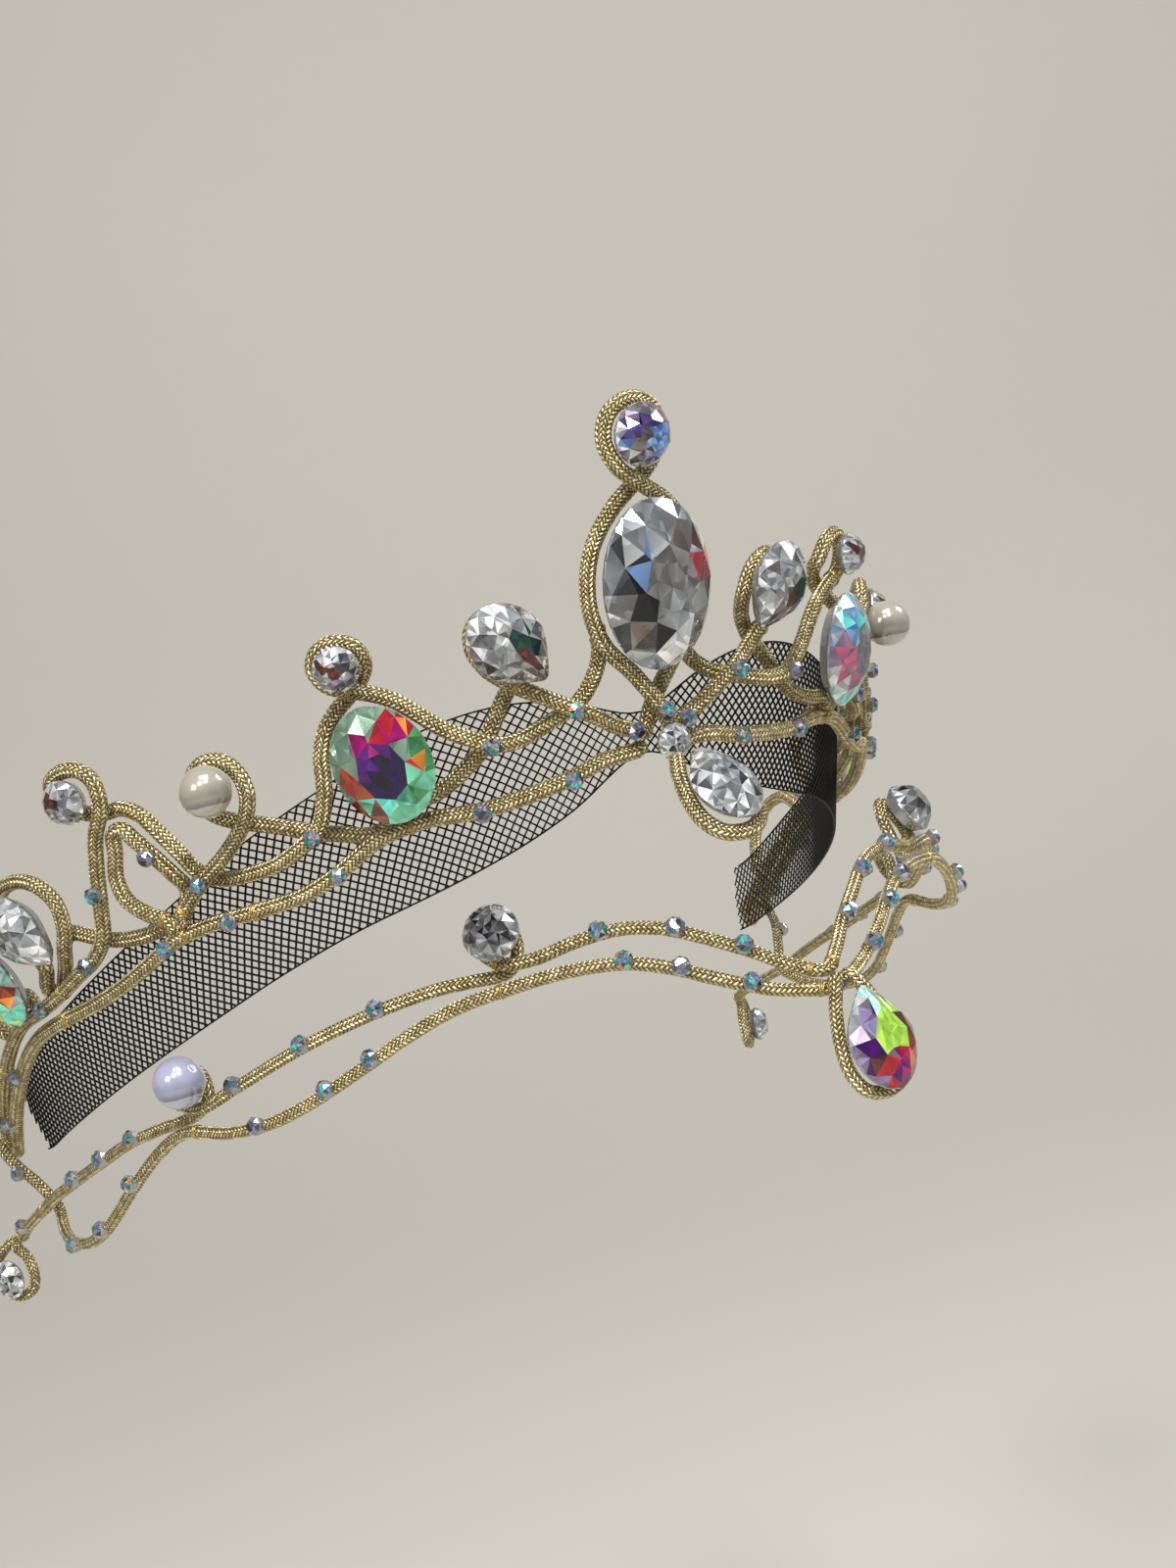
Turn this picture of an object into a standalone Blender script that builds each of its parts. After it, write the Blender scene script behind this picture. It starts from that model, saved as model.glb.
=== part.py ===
"""Ballet tiara of wired gold cord with set crystals and pearls, and the garland that hangs from it over the forehead.

The frame is the wearer's: +X is the wearer's left, -Y the way they face, +Z up. The origin is the middle of
the head at the height of the tiara's front foot. Tables are in millimetres and degrees: `around` is the angle
round the head from the centre front, `up` the height and `out` how far a cord's middle stands off the surface
that the piece is laid out on. A row's side is mirrored, so each table describes one half.
"""

import math

import bmesh
import bpy
import numpy as np
from mathutils import Matrix, Vector

MM = 0.001

# Cord, stone and net sizes, in millimetres
CROWN_CORD = 2.4
BROW_CORD = 1.9
CHATON = 2.9
GAP = 0.32
SEAT_GAP = 0.42
FOOT_SCALE = 0.78
GIRDLE_LEVEL = 0.34
NET_THICK = 1.0
NET_OUT = -4.8
CORD_SIDES_RESOLUTION = 1
LONGEST_STEP = 7.5
MOST_TURN = math.radians(29)

# The crown's foot is an ellipse round the head, and the crown leans outward as it rises from it
CROWN_HALF_WIDTH = 81.0
CROWN_HALF_DEPTH = 100.0
CROWN_FRONT = -80.5
CROWN_LEAN = 0.2
FOOT_DROP = 25.0
FOOT_DROP_AT = 60.0

# The forehead garland lies on an egg a little larger than the head
BROW_HALF_WIDTH = 82.0
BROW_HALF_DEPTH = 126.0
BROW_HALF_HEIGHT = 124.0
BROW_MIDDLE = -94.0

# One cord crosses itself over the centre stones: wearer's right foot, oval loop, round loop and back
CENTRE_LOOP = (
    # around, up, out
    (1.3, 0.0, 1.4),
    (0.0, 4.4, 1.4),
    (-2.4, 9.9, 0.7),
    (-5.3, 15.4, 0.0),
    (-6.4, 22.0, 0.0),
    (-5.5, 29.0, 0.0),
    (-2.6, 34.3, -1.0),
    (0.0, 37.2, -1.4),
    (2.2, 40.3, -0.9),
    (3.0, 44.3, 0.0),
    (2.2, 48.0, 0.0),
    (0.0, 49.5, 0.0),
    (-2.2, 48.0, 0.0),
    (-3.0, 44.3, 0.0),
    (-2.2, 40.3, 0.9),
    (0.0, 37.2, 1.4),
    (2.6, 34.3, 1.0),
    (5.5, 29.0, 0.0),
    (6.4, 22.0, 0.0),
    (5.3, 15.4, 0.0),
    (2.4, 9.9, -0.7),
    (0.0, 4.4, -1.4),
    (-1.3, 0.0, -1.4),
)

# Each half of the crown: name, then rows of around, up, out
CROWN_CORDS = {
    "front_swag": (
        (4.9, 17.2, -2.8),
        (5.1, 13.6, -2.8),
        (6.3, 10.3, -2.6),
        (8.3, 7.8, -1.8),
        (9.9, 6.8, -1.4),
        (13.6, 5.1, 0.0),
        (15.9, 4.3, 1.0),
        (18.0, 4.5, 1.4),
        (20.6, 6.4, 1.0),
        (22.7, 8.5, 0.4),
        (24.5, 11.0, 0.0),
        (26.3, 13.6, 0.0),
        (28.2, 15.3, 0.0),
        (30.2, 16.5, 0.0),
        (32.0, 17.8, 0.0),
        (32.8, 20.2, 0.0),
        (32.2, 22.6, 0.0),
        (30.6, 23.6, 0.0),
        (29.0, 22.7, -0.2),
        (28.4, 20.3, -1.1),
        (29.0, 18.2, -2.6),
        (30.4, 15.9, -2.8),
        (32.2, 13.5, -1.8),
        (33.4, 10.9, -0.4),
        (34.2, 7.7, 0.0),
        (34.5, 4.7, 0.0),
        (34.8, 2.2, 0.0),
    ),
    "pear_stem": (
        (3.1, 1.9, 0.0),
        (5.1, 3.1, 0.5),
        (7.5, 5.3, 1.2),
        (9.8, 7.3, 1.4),
        (13.0, 10.3, 0.4),
        (15.6, 12.9, 0.0),
        (17.4, 15.4, 0.0),
        (18.4, 18.6, 0.0),
        (18.1, 21.6, 0.0),
        (16.4, 23.2, 0.0),
        (14.3, 21.8, 0.0),
        (13.3, 18.4, -0.6),
        (13.8, 15.2, -2.0),
        (15.0, 12.5, -2.8),
        (16.2, 10.2, -2.8),
        (17.8, 6.8, -1.7),
        (19.0, 4.2, -1.4),
        (20.6, 2.3, -1.4),
        (22.5, 0.4, -1.2),
        (24.6, -1.0, -0.4),
        (26.8, -1.5, 0.0),
    ),
    "foot_band": (
        (3.1, -1.4, 0.0),
        (6.7, -1.6, 0.0),
        (10.3, -2.9, 0.0),
        (15.0, -4.1, 0.0),
        (20.2, -4.8, 0.0),
        (26.2, -4.6, 0.0),
        (30.8, -6.0, 0.0),
        (35.7, -10.0, 0.0),
        (39.5, -12.3, 0.0),
        (44.6, -13.6, 0.0),
        (49.5, -14.6, 0.0),
        (53.8, -16.4, 0.0),
        (57.6, -19.6, 0.0),
        (61.5, -22.7, 0.0),
        (66.4, -25.7, 0.0),
        (72.0, -28.4, 0.0),
        (77.0, -31.6, 0.0),
        (82.0, -37.0, 0.0),
        (87.0, -43.8, 0.0),
        (91.5, -50.6, 0.0),
        (94.0, -54.8, 0.0),
    ),
    "side_swag": (
        (35.0, 1.7, 0.0),
        (35.5, -0.7, 0.0),
        (36.6, -3.2, 0.0),
        (38.8, -5.4, 0.0),
        (41.3, -7.1, -0.6),
        (44.5, -8.0, -1.8),
        (47.3, -8.3, -2.7),
        (49.0, -7.8, -2.8),
        (50.3, -6.2, -2.7),
        (50.9, -3.3, -1.8),
        (52.0, 0.4, -1.2),
        (53.7, 3.5, -2.0),
        (55.8, 4.9, -2.8),
        (57.9, 4.6, -2.8),
        (60.1, 5.6, -1.4),
        (61.2, 7.9, -0.4),
        (60.9, 10.5, 0.0),
        (59.3, 12.1, 0.0),
        (57.5, 12.0, 0.0),
        (56.4, 10.3, 0.0),
        (56.3, 7.6, 0.0),
        (56.9, 4.8, 0.0),
        (58.2, 1.6, 0.0),
        (59.4, -3.2, 0.0),
        (60.7, -9.6, 0.0),
        (61.9, -14.7, 0.0),
        (64.1, -18.2, 0.0),
        (66.9, -20.6, 0.0),
        (70.2, -23.4, 0.0),
        (74.0, -26.2, 0.0),
        (78.9, -29.2, 0.0),
        (83.8, -34.6, 0.0),
        (88.7, -41.3, 0.0),
        (93.0, -48.4, 0.0),
        (95.4, -52.6, 0.0),
    ),
    "pearl_stem": (
        (28.9, -4.4, -2.8),
        (31.9, -5.4, -2.8),
        (34.7, -4.5, -2.8),
        (37.2, -3.6, -2.8),
        (40.0, -2.0, -2.8),
        (42.9, -0.6, -2.8),
        (44.8, 0.3, -2.8),
        (46.3, 1.9, -2.0),
        (47.1, 4.6, -1.0),
        (46.8, 7.6, -0.5),
        (45.1, 9.9, 0.0),
        (43.2, 9.7, 0.0),
        (42.1, 7.4, 0.0),
        (41.9, 4.3, 0.0),
        (42.6, 1.2, 0.0),
        (44.0, -1.6, 0.0),
        (46.2, -4.7, 0.0),
        (48.9, -7.7, 0.0),
        (50.7, -10.2, 0.0),
        (52.0, -12.2, 0.0),
    ),
    "peak_stem": (
        (52.6, -11.4, -2.8),
        (51.9, -8.8, -2.6),
        (52.2, -6.0, -1.2),
        (53.0, -2.6, 0.0),
        (54.2, 0.0, 0.0),
        (55.2, 2.0, 0.0),
        (56.2, 1.5, 0.0),
        (56.8, -1.4, 0.0),
        (57.7, -5.4, 0.0),
        (57.5, -8.9, 0.0),
        (56.0, -11.4, 0.0),
        (54.2, -12.9, 0.0),
    ),
    "peak_link": (
        (54.6, -14.0, -2.8),
        (56.4, -14.8, -2.8),
        (58.8, -15.6, -2.8),
        (61.8, -15.8, -2.8),
        (64.3, -15.2, -2.8),
        (66.4, -14.2, -2.8),
        (67.5, -13.9, -2.8),
    ),
    "tip_stem": (
        (72.0, -23.2, -2.8),
        (70.7, -21.0, -2.4),
        (68.8, -18.6, -1.1),
        (67.3, -16.0, 0.0),
        (66.2, -12.4, 0.0),
        (66.0, -8.2, 0.0),
        (67.5, -5.2, 0.0),
        (69.8, -4.2, 0.0),
        (72.5, -5.5, 0.0),
        (74.2, -8.6, 0.0),
        (74.5, -11.8, 0.0),
    ),
    "tip_oval_loop": (
        (71.7, -21.5, 0.0),
        (71.0, -18.9, 0.0),
        (72.0, -16.3, 0.0),
        (74.8, -14.9, 0.0),
        (78.6, -14.9, 0.0),
        (81.9, -17.2, 0.0),
        (83.0, -20.8, 0.0),
        (81.3, -24.2, 0.0),
        (78.2, -25.6, 0.0),
        (76.0, -23.8, 0.0),
    ),
    "end_loop": (
        (83.0, -30.4, 0.0),
        (86.4, -29.4, 0.0),
        (90.4, -32.0, 0.0),
        (92.7, -37.2, 0.0),
        (92.7, -43.0, 0.0),
    ),
}

# Small chatons glued along each crown cord: around, up of each
CROWN_CHATONS = {
    "pear_stem": ((3.2, 2.0), (9.9, 7.3)),
    "front_swag": ((18.6, 4.9),),
    "foot_band": ((10.8, -3.1), (20.6, -4.8), (35.4, -9.8), (47.2, -14.1), (54.6, -17.0), (83.0, -38.4), (90.0, -48.4)),
    "side_swag": ((36.9, -3.3), (60.2, -7.2), (64.4, -18.5), (73.0, -25.5), (92.6, -47.8)),
    "pearl_stem": ((48.9, -7.7),),
    "peak_stem": ((53.3, -2.5),),
    "end_loop": ((85.0, -29.5),),
}

# Black crin band behind the crown: around, low edge, high edge
NET_BAND = (
    (0.0, -1.8, 3.2),
    (2.8, -2.6, 3.9),
    (7.0, -7.0, 7.3),
    (15.0, -11.5, 9.7),
    (22.5, -14.7, 9.2),
    (30.0, -17.5, 6.2),
    (36.7, -20.0, 2.2),
    (46.0, -25.0, -3.8),
    (55.0, -30.8, -11.3),
    (66.0, -38.0, -20.2),
    (80.0, -47.5, -31.5),
    (93.5, -56.5, -44.0),
)

# The garland's two cords, from the centre front to the wearer's side: around, up, out
BROW_CORDS = {
    "brow_upper": (
        (0.0, -34.8, 1.6),
        (3.2, -32.6, 0.6),
        (6.7, -29.4, 0.0),
        (11.3, -26.2, 0.0),
        (15.5, -23.9, 0.0),
        (20.0, -23.0, 0.0),
        (25.0, -23.6, 0.0),
        (29.5, -24.8, 0.0),
        (32.8, -24.8, 0.0),
        (34.7, -22.9, 0.0),
        (34.5, -20.0, 0.0),
        (32.9, -18.8, 0.0),
        (31.3, -20.0, -0.6),
        (31.2, -22.9, -1.6),
        (32.8, -25.2, -2.3),
        (36.5, -26.3, -0.8),
        (39.7, -26.9, 0.0),
        (46.4, -28.9, 0.0),
        (54.9, -32.9, 0.0),
        (63.5, -38.6, 0.0),
        (68.0, -41.7, 0.0),
        (70.6, -41.6, 0.0),
        (72.1, -39.6, 0.0),
        (71.6, -36.8, 0.0),
        (69.9, -35.9, 0.0),
        (68.4, -37.2, -0.8),
        (68.4, -40.0, -1.8),
        (70.4, -42.8, -2.3),
        (74.5, -45.4, -0.8),
        (78.5, -47.9, 0.0),
        (84.3, -52.4, 0.0),
        (91.2, -57.8, 0.0),
        (95.2, -61.4, 0.8),
        (98.4, -64.6, 1.3),
        (101.8, -67.4, 1.4),
        (105.2, -70.2, 1.6),
        (107.6, -73.0, 2.4),
    ),
    "brow_lower": (
        (0.0, -37.2, 1.6),
        (3.0, -36.3, 1.0),
        (5.8, -35.1, 0.3),
        (8.5, -33.6, 0.0),
        (12.4, -31.3, 0.0),
        (15.8, -29.2, 0.0),
        (20.5, -27.4, 0.0),
        (26.5, -27.1, 0.0),
        (33.3, -28.2, 0.0),
        (38.5, -29.7, 0.0),
        (43.5, -32.4, 0.0),
        (48.5, -36.0, 0.0),
        (54.6, -40.5, 0.0),
        (59.0, -43.2, 0.0),
        (64.0, -44.9, 0.0),
        (70.5, -45.6, 0.0),
        (74.2, -49.0, 0.0),
        (78.3, -54.8, 0.0),
        (83.5, -62.6, 0.0),
        (87.4, -66.0, 0.0),
        (91.6, -67.2, 0.0),
        (95.2, -66.4, -0.8),
        (97.7, -63.8, -1.2),
        (98.6, -60.2, 1.4),
        (100.0, -57.0, 4.8),
        (101.6, -54.4, 7.0),
    ),
}

BROW_CHATONS = {
    "brow_upper": (
        (7.5, -28.8),
        (14.0, -24.7),
        (22.0, -23.1),
        (46.4, -28.9),
        (54.9, -32.9),
        (63.0, -38.3),
        (77.5, -47.2),
        (83.0, -51.4),
        (89.0, -56.1),
        (104.8, -69.9),
    ),
    "brow_lower": (
        (0.0, -37.2),
        (8.5, -33.6),
        (15.1, -29.6),
        (20.5, -27.4),
        (47.6, -35.4),
        (52.5, -39.0),
        (60.5, -43.8),
        (77.8, -54.0),
        (83.3, -62.3),
        (89.4, -66.8),
        (99.4, -58.3),
    ),
}

# Loops of cord under the two drops, as offsets in the drop's own plane: across, along from the middle
DROP_LOOP = (
    (-1.5, -9.2),
    (-3.3, -5.4),
    (-4.6, -0.4),
    (-4.6, 3.6),
    (-3.0, 6.3),
    (0.0, 7.2),
    (3.0, 6.3),
    (4.6, 3.6),
    (4.6, -0.4),
    (3.3, -5.4),
    (1.5, -9.2),
)
END_LOOP = (
    (-1.4, -4.9),
    (-3.0, -3.2),
    (-3.7, -0.2),
    (-2.9, 2.7),
    (0.0, 4.0),
    (2.9, 2.7),
    (3.7, -0.2),
    (3.0, -3.2),
    (1.4, -4.9),
)

# Stones of one half of the crown: name, shape, around, up, width, length, height, turn from upright
CROWN_STONES = (
    ("front_pear", "pear", 15.3, 18.9, 11.2, 14.6, 5.0, -38.0),
    ("colour_oval", "oval", 28.6, 5.8, 14.4, 18.4, 5.2, -12.0),
    ("oval_round", "round", 30.6, 20.5, 6.8, 6.8, 3.6, 0.0),
    ("peak_round", "round", 59.0, 8.0, 7.2, 7.2, 4.2, 0.0),
    ("tip_pear", "pear", 70.0, -11.6, 11.2, 14.6, 5.0, -43.0),
    ("tip_oval", "oval", 76.9, -20.4, 12.0, 15.6, 4.8, -40.0),
)
CENTRE_STONES = (
    ("centre_oval", "oval", 0.0, 23.2, 18.6, 25.6, 6.8, 0.0),
    ("centre_round", "round", 0.0, 44.6, 9.4, 9.4, 5.0, 0.0),
    ("centre_chaton", "round", 0.0, 0.0, 5.6, 5.6, 3.4, 0.0),
)
BROW_STONES = (
    ("brow_round", "round", 32.7, -21.6, 8.4, 8.4, 4.6, 0.0),
)
CROWN_PEARL = (44.3, 7.0, 7.8)
BROW_PEARL = (67.9, -38.2, 8.0)

# The drops: middle of the loop in millimetres, slope of its plane from level, turn from facing forward, stone size
CENTRE_DROP = {
    "middle": (0.0, -93.6, -9.4),
    "slope": 43.0,
    "turn": 0.0,
    "size": (10.6, 14.6, 4.4),
    "shape": "pear",
    "loop": DROP_LOOP,
}
BROW_DROP = {
    "middle": (0.0, -119.4, -43.7),
    "slope": 72.0,
    "turn": 0.0,
    "size": (10.8, 14.8, 4.6),
    "shape": "pear",
    "loop": DROP_LOOP,
}
END_DROP = {
    "middle": (81.5, 39.6, -79.5),
    "slope": 90.0,
    "turn": 49.0,
    "size": (5.8, 7.2, 3.2),
    "shape": "oval",
    "loop": END_LOOP,
}

FINISHES = {
    # name: base colour, metallic, roughness
    "gold_cord": ((0.60, 0.44, 0.20, 1.0), 1.0, 0.38),
    "clear_crystal": ((0.86, 0.87, 0.88, 1.0), 0.6, 0.06),
    "colour_crystal": ((0.35, 0.62, 0.60, 1.0), 0.7, 0.08),
    "pearl": ((0.90, 0.87, 0.80, 1.0), 0.0, 0.16),
    "black_net": ((0.02, 0.02, 0.02, 1.0), 0.0, 0.6),
}
COLOUR_STONES = ("colour_oval", "tip_oval", "brow_drop")
SIDES = (("right", -1.0), ("left", 1.0))


def clear_scene():
    for obj in list(bpy.data.objects):
        bpy.data.objects.remove(obj, do_unlink=True)
    for block in (bpy.data.meshes, bpy.data.curves, bpy.data.materials):
        for item in list(block):
            block.remove(item)


def new_collection(name):
    made = bpy.data.collections.new(name)
    bpy.context.scene.collection.children.link(made)
    return made


def make_material(name):
    colour, metallic, roughness = FINISHES[name]
    material = bpy.data.materials.new(name)
    material.use_nodes = True
    shader = material.node_tree.nodes["Principled BSDF"]
    shader.inputs["Base Color"].default_value = colour
    shader.inputs["Metallic"].default_value = metallic
    shader.inputs["Roughness"].default_value = roughness
    material.diffuse_color = colour
    return material


def crown_point(around, up, out):
    """A point of the crown: on the leaning surface above the foot ellipse, in millimetres."""
    angle = math.radians(around)
    foot = np.array([CROWN_HALF_WIDTH * math.sin(angle), CROWN_FRONT + CROWN_HALF_DEPTH * (1 - math.cos(angle)), up])
    normal = np.array([CROWN_HALF_DEPTH * math.sin(angle), -CROWN_HALF_WIDTH * math.cos(angle), 0.0])
    normal /= np.linalg.norm(normal)
    above_foot = up + FOOT_DROP * (abs(around) / FOOT_DROP_AT) ** 1.5
    return foot + normal * (CROWN_LEAN * above_foot + out)


def brow_point(around, up, out):
    """A point of the garland: on the egg over the forehead, in millimetres."""
    angle = math.radians(around)
    ring = math.sqrt(1 - ((up - BROW_MIDDLE) / BROW_HALF_HEIGHT) ** 2)
    spot = np.array([BROW_HALF_WIDTH * ring * math.sin(angle), -BROW_HALF_DEPTH * ring * math.cos(angle), up])
    normal = spot / np.array([BROW_HALF_WIDTH, BROW_HALF_DEPTH, 1.0]) ** 2
    normal[2] = (up - BROW_MIDDLE) / BROW_HALF_HEIGHT**2
    return spot + out * normal / np.linalg.norm(normal)


def surface_frame(surface, around, up):
    """The spot, and the across, along and outward directions of a surface there."""
    spot = surface(around, up, 0.0)
    across = surface(around + 0.5, up, 0.0) - surface(around - 0.5, up, 0.0)
    along = surface(around, up + 0.5, 0.0) - surface(around, up - 0.5, 0.0)
    outward = np.cross(across, along)
    outward /= np.linalg.norm(outward)
    along /= np.linalg.norm(along)
    return spot, np.cross(along, outward), along, outward


def smooth_path(points, step=0.5):
    """A centripetal Catmull-Rom curve through the points, sampled about every step."""
    points = [np.asarray(point, float) for point in points]
    points = [2 * points[0] - points[1]] + points + [2 * points[-1] - points[-2]]
    path = []
    for a, b, c, d in zip(points, points[1:], points[2:], points[3:]):
        t1 = max(np.linalg.norm(b - a), 1e-6) ** 0.5
        t2 = t1 + max(np.linalg.norm(c - b), 1e-6) ** 0.5
        t3 = t2 + max(np.linalg.norm(d - c), 1e-6) ** 0.5
        count = max(2, int(np.linalg.norm(c - b) / step))
        for t in np.linspace(t1, t2, count, endpoint=False):
            ab = a + (b - a) * t / t1
            bc = b + (c - b) * (t - t1) / (t2 - t1)
            cd = c + (d - c) * (t - t2) / (t3 - t2)
            abc = ab + (bc - ab) * t / t2
            bcd = bc + (cd - bc) * (t - t1) / (t3 - t1)
            path.append(abc + (bcd - abc) * (t - t1) / (t2 - t1))
    path.append(points[-2])
    return np.array(path)


def thinned(path):
    """The path's points, one for each turn or stretch that a cord needs."""
    kept = [path[0]]
    turned = 0.0
    went = 0.0
    for before, here, after in zip(path, path[1:], path[2:]):
        first, second = here - before, after - here
        cosine = first @ second / (np.linalg.norm(first) * np.linalg.norm(second))
        turned += math.acos(min(1.0, max(-1.0, cosine)))
        went += np.linalg.norm(first)
        if turned > MOST_TURN or went > LONGEST_STEP:
            kept.append(here)
            turned = 0.0
            went = 0.0
    if np.linalg.norm(kept[-1] - path[-1]) < 1.0 and len(kept) > 2:
        kept.pop()
    kept.append(path[-1])
    return np.array(kept)


def closed_mesh_of(curve_object):
    """The curve's tube as a mesh with its end caps welded on."""
    graph = bpy.context.evaluated_depsgraph_get()
    mesh = bpy.data.meshes.new_from_object(curve_object.evaluated_get(graph))
    shape = bmesh.new()
    shape.from_mesh(mesh)
    bmesh.ops.remove_doubles(shape, verts=shape.verts, dist=0.00001)
    bmesh.ops.recalc_face_normals(shape, faces=shape.faces)
    shape.to_mesh(mesh)
    shape.free()
    return mesh


def make_cord(name, path, diameter, collection, material):
    """A round cord along the path, as a closed mesh."""
    curve = bpy.data.curves.new(name + "_line", "CURVE")
    curve.dimensions = "3D"
    curve.bevel_depth = diameter / 2 * MM
    curve.bevel_resolution = CORD_SIDES_RESOLUTION
    curve.use_fill_caps = True
    points = thinned(path)
    spline = curve.splines.new("POLY")
    spline.points.add(len(points) - 1)
    for target, point in zip(spline.points, points):
        target.co = (*(point * MM), 1.0)
    line = bpy.data.objects.new(name + "_line", curve)
    collection.objects.link(line)
    mesh = closed_mesh_of(line)
    bpy.data.objects.remove(line, do_unlink=True)
    mesh.name = name
    mesh.materials.append(material)
    cord = bpy.data.objects.new(name, mesh)
    collection.objects.link(cord)
    return cord


def lofted(rings, matrix, mesh_name):
    """A closed solid through rings of equal point counts, each a list of local points."""
    shape = bmesh.new()
    loops = [[shape.verts.new(matrix @ Vector(point)) for point in ring] for ring in rings]
    for low, high in zip(loops, loops[1:]):
        for i in range(len(low)):
            j = (i + 1) % len(low)
            shape.faces.new((low[i], low[j], high[j], high[i]))
    shape.faces.new(reversed(loops[0]))
    shape.faces.new(loops[-1])
    bmesh.ops.recalc_face_normals(shape, faces=shape.faces)
    mesh = bpy.data.meshes.new(mesh_name)
    shape.to_mesh(mesh)
    shape.free()
    return mesh


def outline(shape, width, length, count):
    """The girdle of a stone in its own plane, in millimetres, starting at its foot."""
    points = []
    for i in range(count):
        turn = 2 * math.pi * i / count
        x, y = math.sin(turn), -math.cos(turn)
        if shape == "pear":
            narrow = 1.0 - 0.62 * max(0.0, -y) ** 1.6
            x *= narrow
        points.append((x * width / 2, y * length / 2))
    return points


def stone_rings(shape, width, length, height, count):
    """Foot, girdle and table rings of a cut stone in its closed setting."""
    girdle = outline(shape, width, length, count)
    levels = ((FOOT_SCALE, 0.0), (1.0, GIRDLE_LEVEL), (1.0, GIRDLE_LEVEL + 0.1), (0.82, 0.78), (0.56, 1.0))
    return [[(x * scale * MM, y * scale * MM, height * level * MM) for x, y in girdle] for scale, level in levels]


def pose_matrix(spot, across, along, outward, turn):
    """A matrix that stands a flat piece on a frame, turned about its outward direction."""
    rotation = Matrix((across, along, outward)).transposed().to_4x4()
    return Matrix.Translation(Vector(spot) * MM) @ rotation @ Matrix.Rotation(math.radians(turn), 4, "Z")


def seat_height(frame, size, turn, paths):
    """How far out a stone's back stands so that its setting just clears the cords behind it."""
    spot, across, along, outward = frame
    width, length, height = size
    angle = math.radians(turn)
    side = across * math.cos(angle) + along * math.sin(angle)
    end = along * math.cos(angle) - across * math.sin(angle)
    back = 0.0
    for path, radius in paths:
        offset = path - spot
        level = offset @ outward
        reach = np.hypot(offset @ side / (width / 2), offset @ end / (length / 2))
        near = (reach < 1.6) & (np.abs(level) < 7.0)
        for part in np.linspace(-0.9, 0.9, 7):
            edge = reach[near] - part * radius / (min(width, length) / 2)
            under = np.clip((edge - FOOT_SCALE) / (1.0 - FOOT_SCALE), 0.0, 1.0) * GIRDLE_LEVEL * height
            top = level[near] + radius * math.sqrt(1 - part**2)
            lift = np.where(edge < 1.0, top - under, 0.0)
            if len(lift):
                back = max(back, float(lift.max()))
    return back + SEAT_GAP


def make_stone(name, shape, frame, size, turn, back, collection, material):
    width, length, height = size
    spot, across, along, outward = frame
    matrix = pose_matrix(spot + outward * back, across, along, outward, turn)
    count = 14 if max(width, length) > 12 else 12
    mesh = lofted(stone_rings(shape, width, length, height, count), matrix, name)
    mesh.materials.append(material)
    stone = bpy.data.objects.new(name, mesh)
    collection.objects.link(stone)
    return stone


def make_pearl(name, frame, diameter, paths, collection, material):
    """A round pearl that rests on the cords of its loop."""
    spot, _, _, outward = frame
    height = 0.0
    for path, radius in paths:
        offset = path - spot
        level = offset @ outward
        lateral = np.linalg.norm(offset - np.outer(level, outward), axis=1)
        reach = diameter / 2 + radius + GAP
        touching = (lateral < reach) & (np.abs(level) < 8.0)
        if np.any(touching):
            height = max(height, float((level[touching] + np.sqrt(reach**2 - lateral[touching] ** 2)).max()))
    shape = bmesh.new()
    bmesh.ops.create_uvsphere(shape, u_segments=14, v_segments=9, radius=diameter / 2 * MM)
    mesh = bpy.data.meshes.new(name)
    shape.to_mesh(mesh)
    shape.free()
    mesh.materials.append(material)
    mesh.shade_smooth()
    pearl = bpy.data.objects.new(name, mesh)
    pearl.location = Vector(spot + outward * height) * MM
    collection.objects.link(pearl)
    return pearl


def add_chatons(cord, path, diameter, surface, places, side, cutters):
    """Fuses the small chatons glued on a cord to it."""
    shape = bmesh.new()
    for around, up in places:
        spot, across, along, outward = surface_frame(surface, around * side, up)
        offset = path - spot
        flat = offset - np.outer(offset @ outward, outward)
        nearest = path[np.argmin(np.linalg.norm(flat, axis=1) - 0.3 * (offset @ outward))]
        matrix = pose_matrix(nearest + outward * 0.28 * diameter, across, along, outward, 0.0)
        rings = stone_rings("round", CHATON, CHATON, 0.62 * CHATON, 8)
        mesh = lofted((rings[0], rings[2], rings[4]), matrix, "chaton")
        shape.from_mesh(mesh)
        bpy.data.meshes.remove(mesh)
    mesh = bpy.data.meshes.new(cord.name + "_chatons")
    shape.to_mesh(mesh)
    shape.free()
    group = bpy.data.objects.new(cord.name + "_chatons", mesh)
    group.hide_render = True
    group.display_type = "WIRE"
    cutters.objects.link(group)
    fuse = cord.modifiers.new("Chatons", "BOOLEAN")
    fuse.operation = "UNION"
    fuse.object = group


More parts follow.
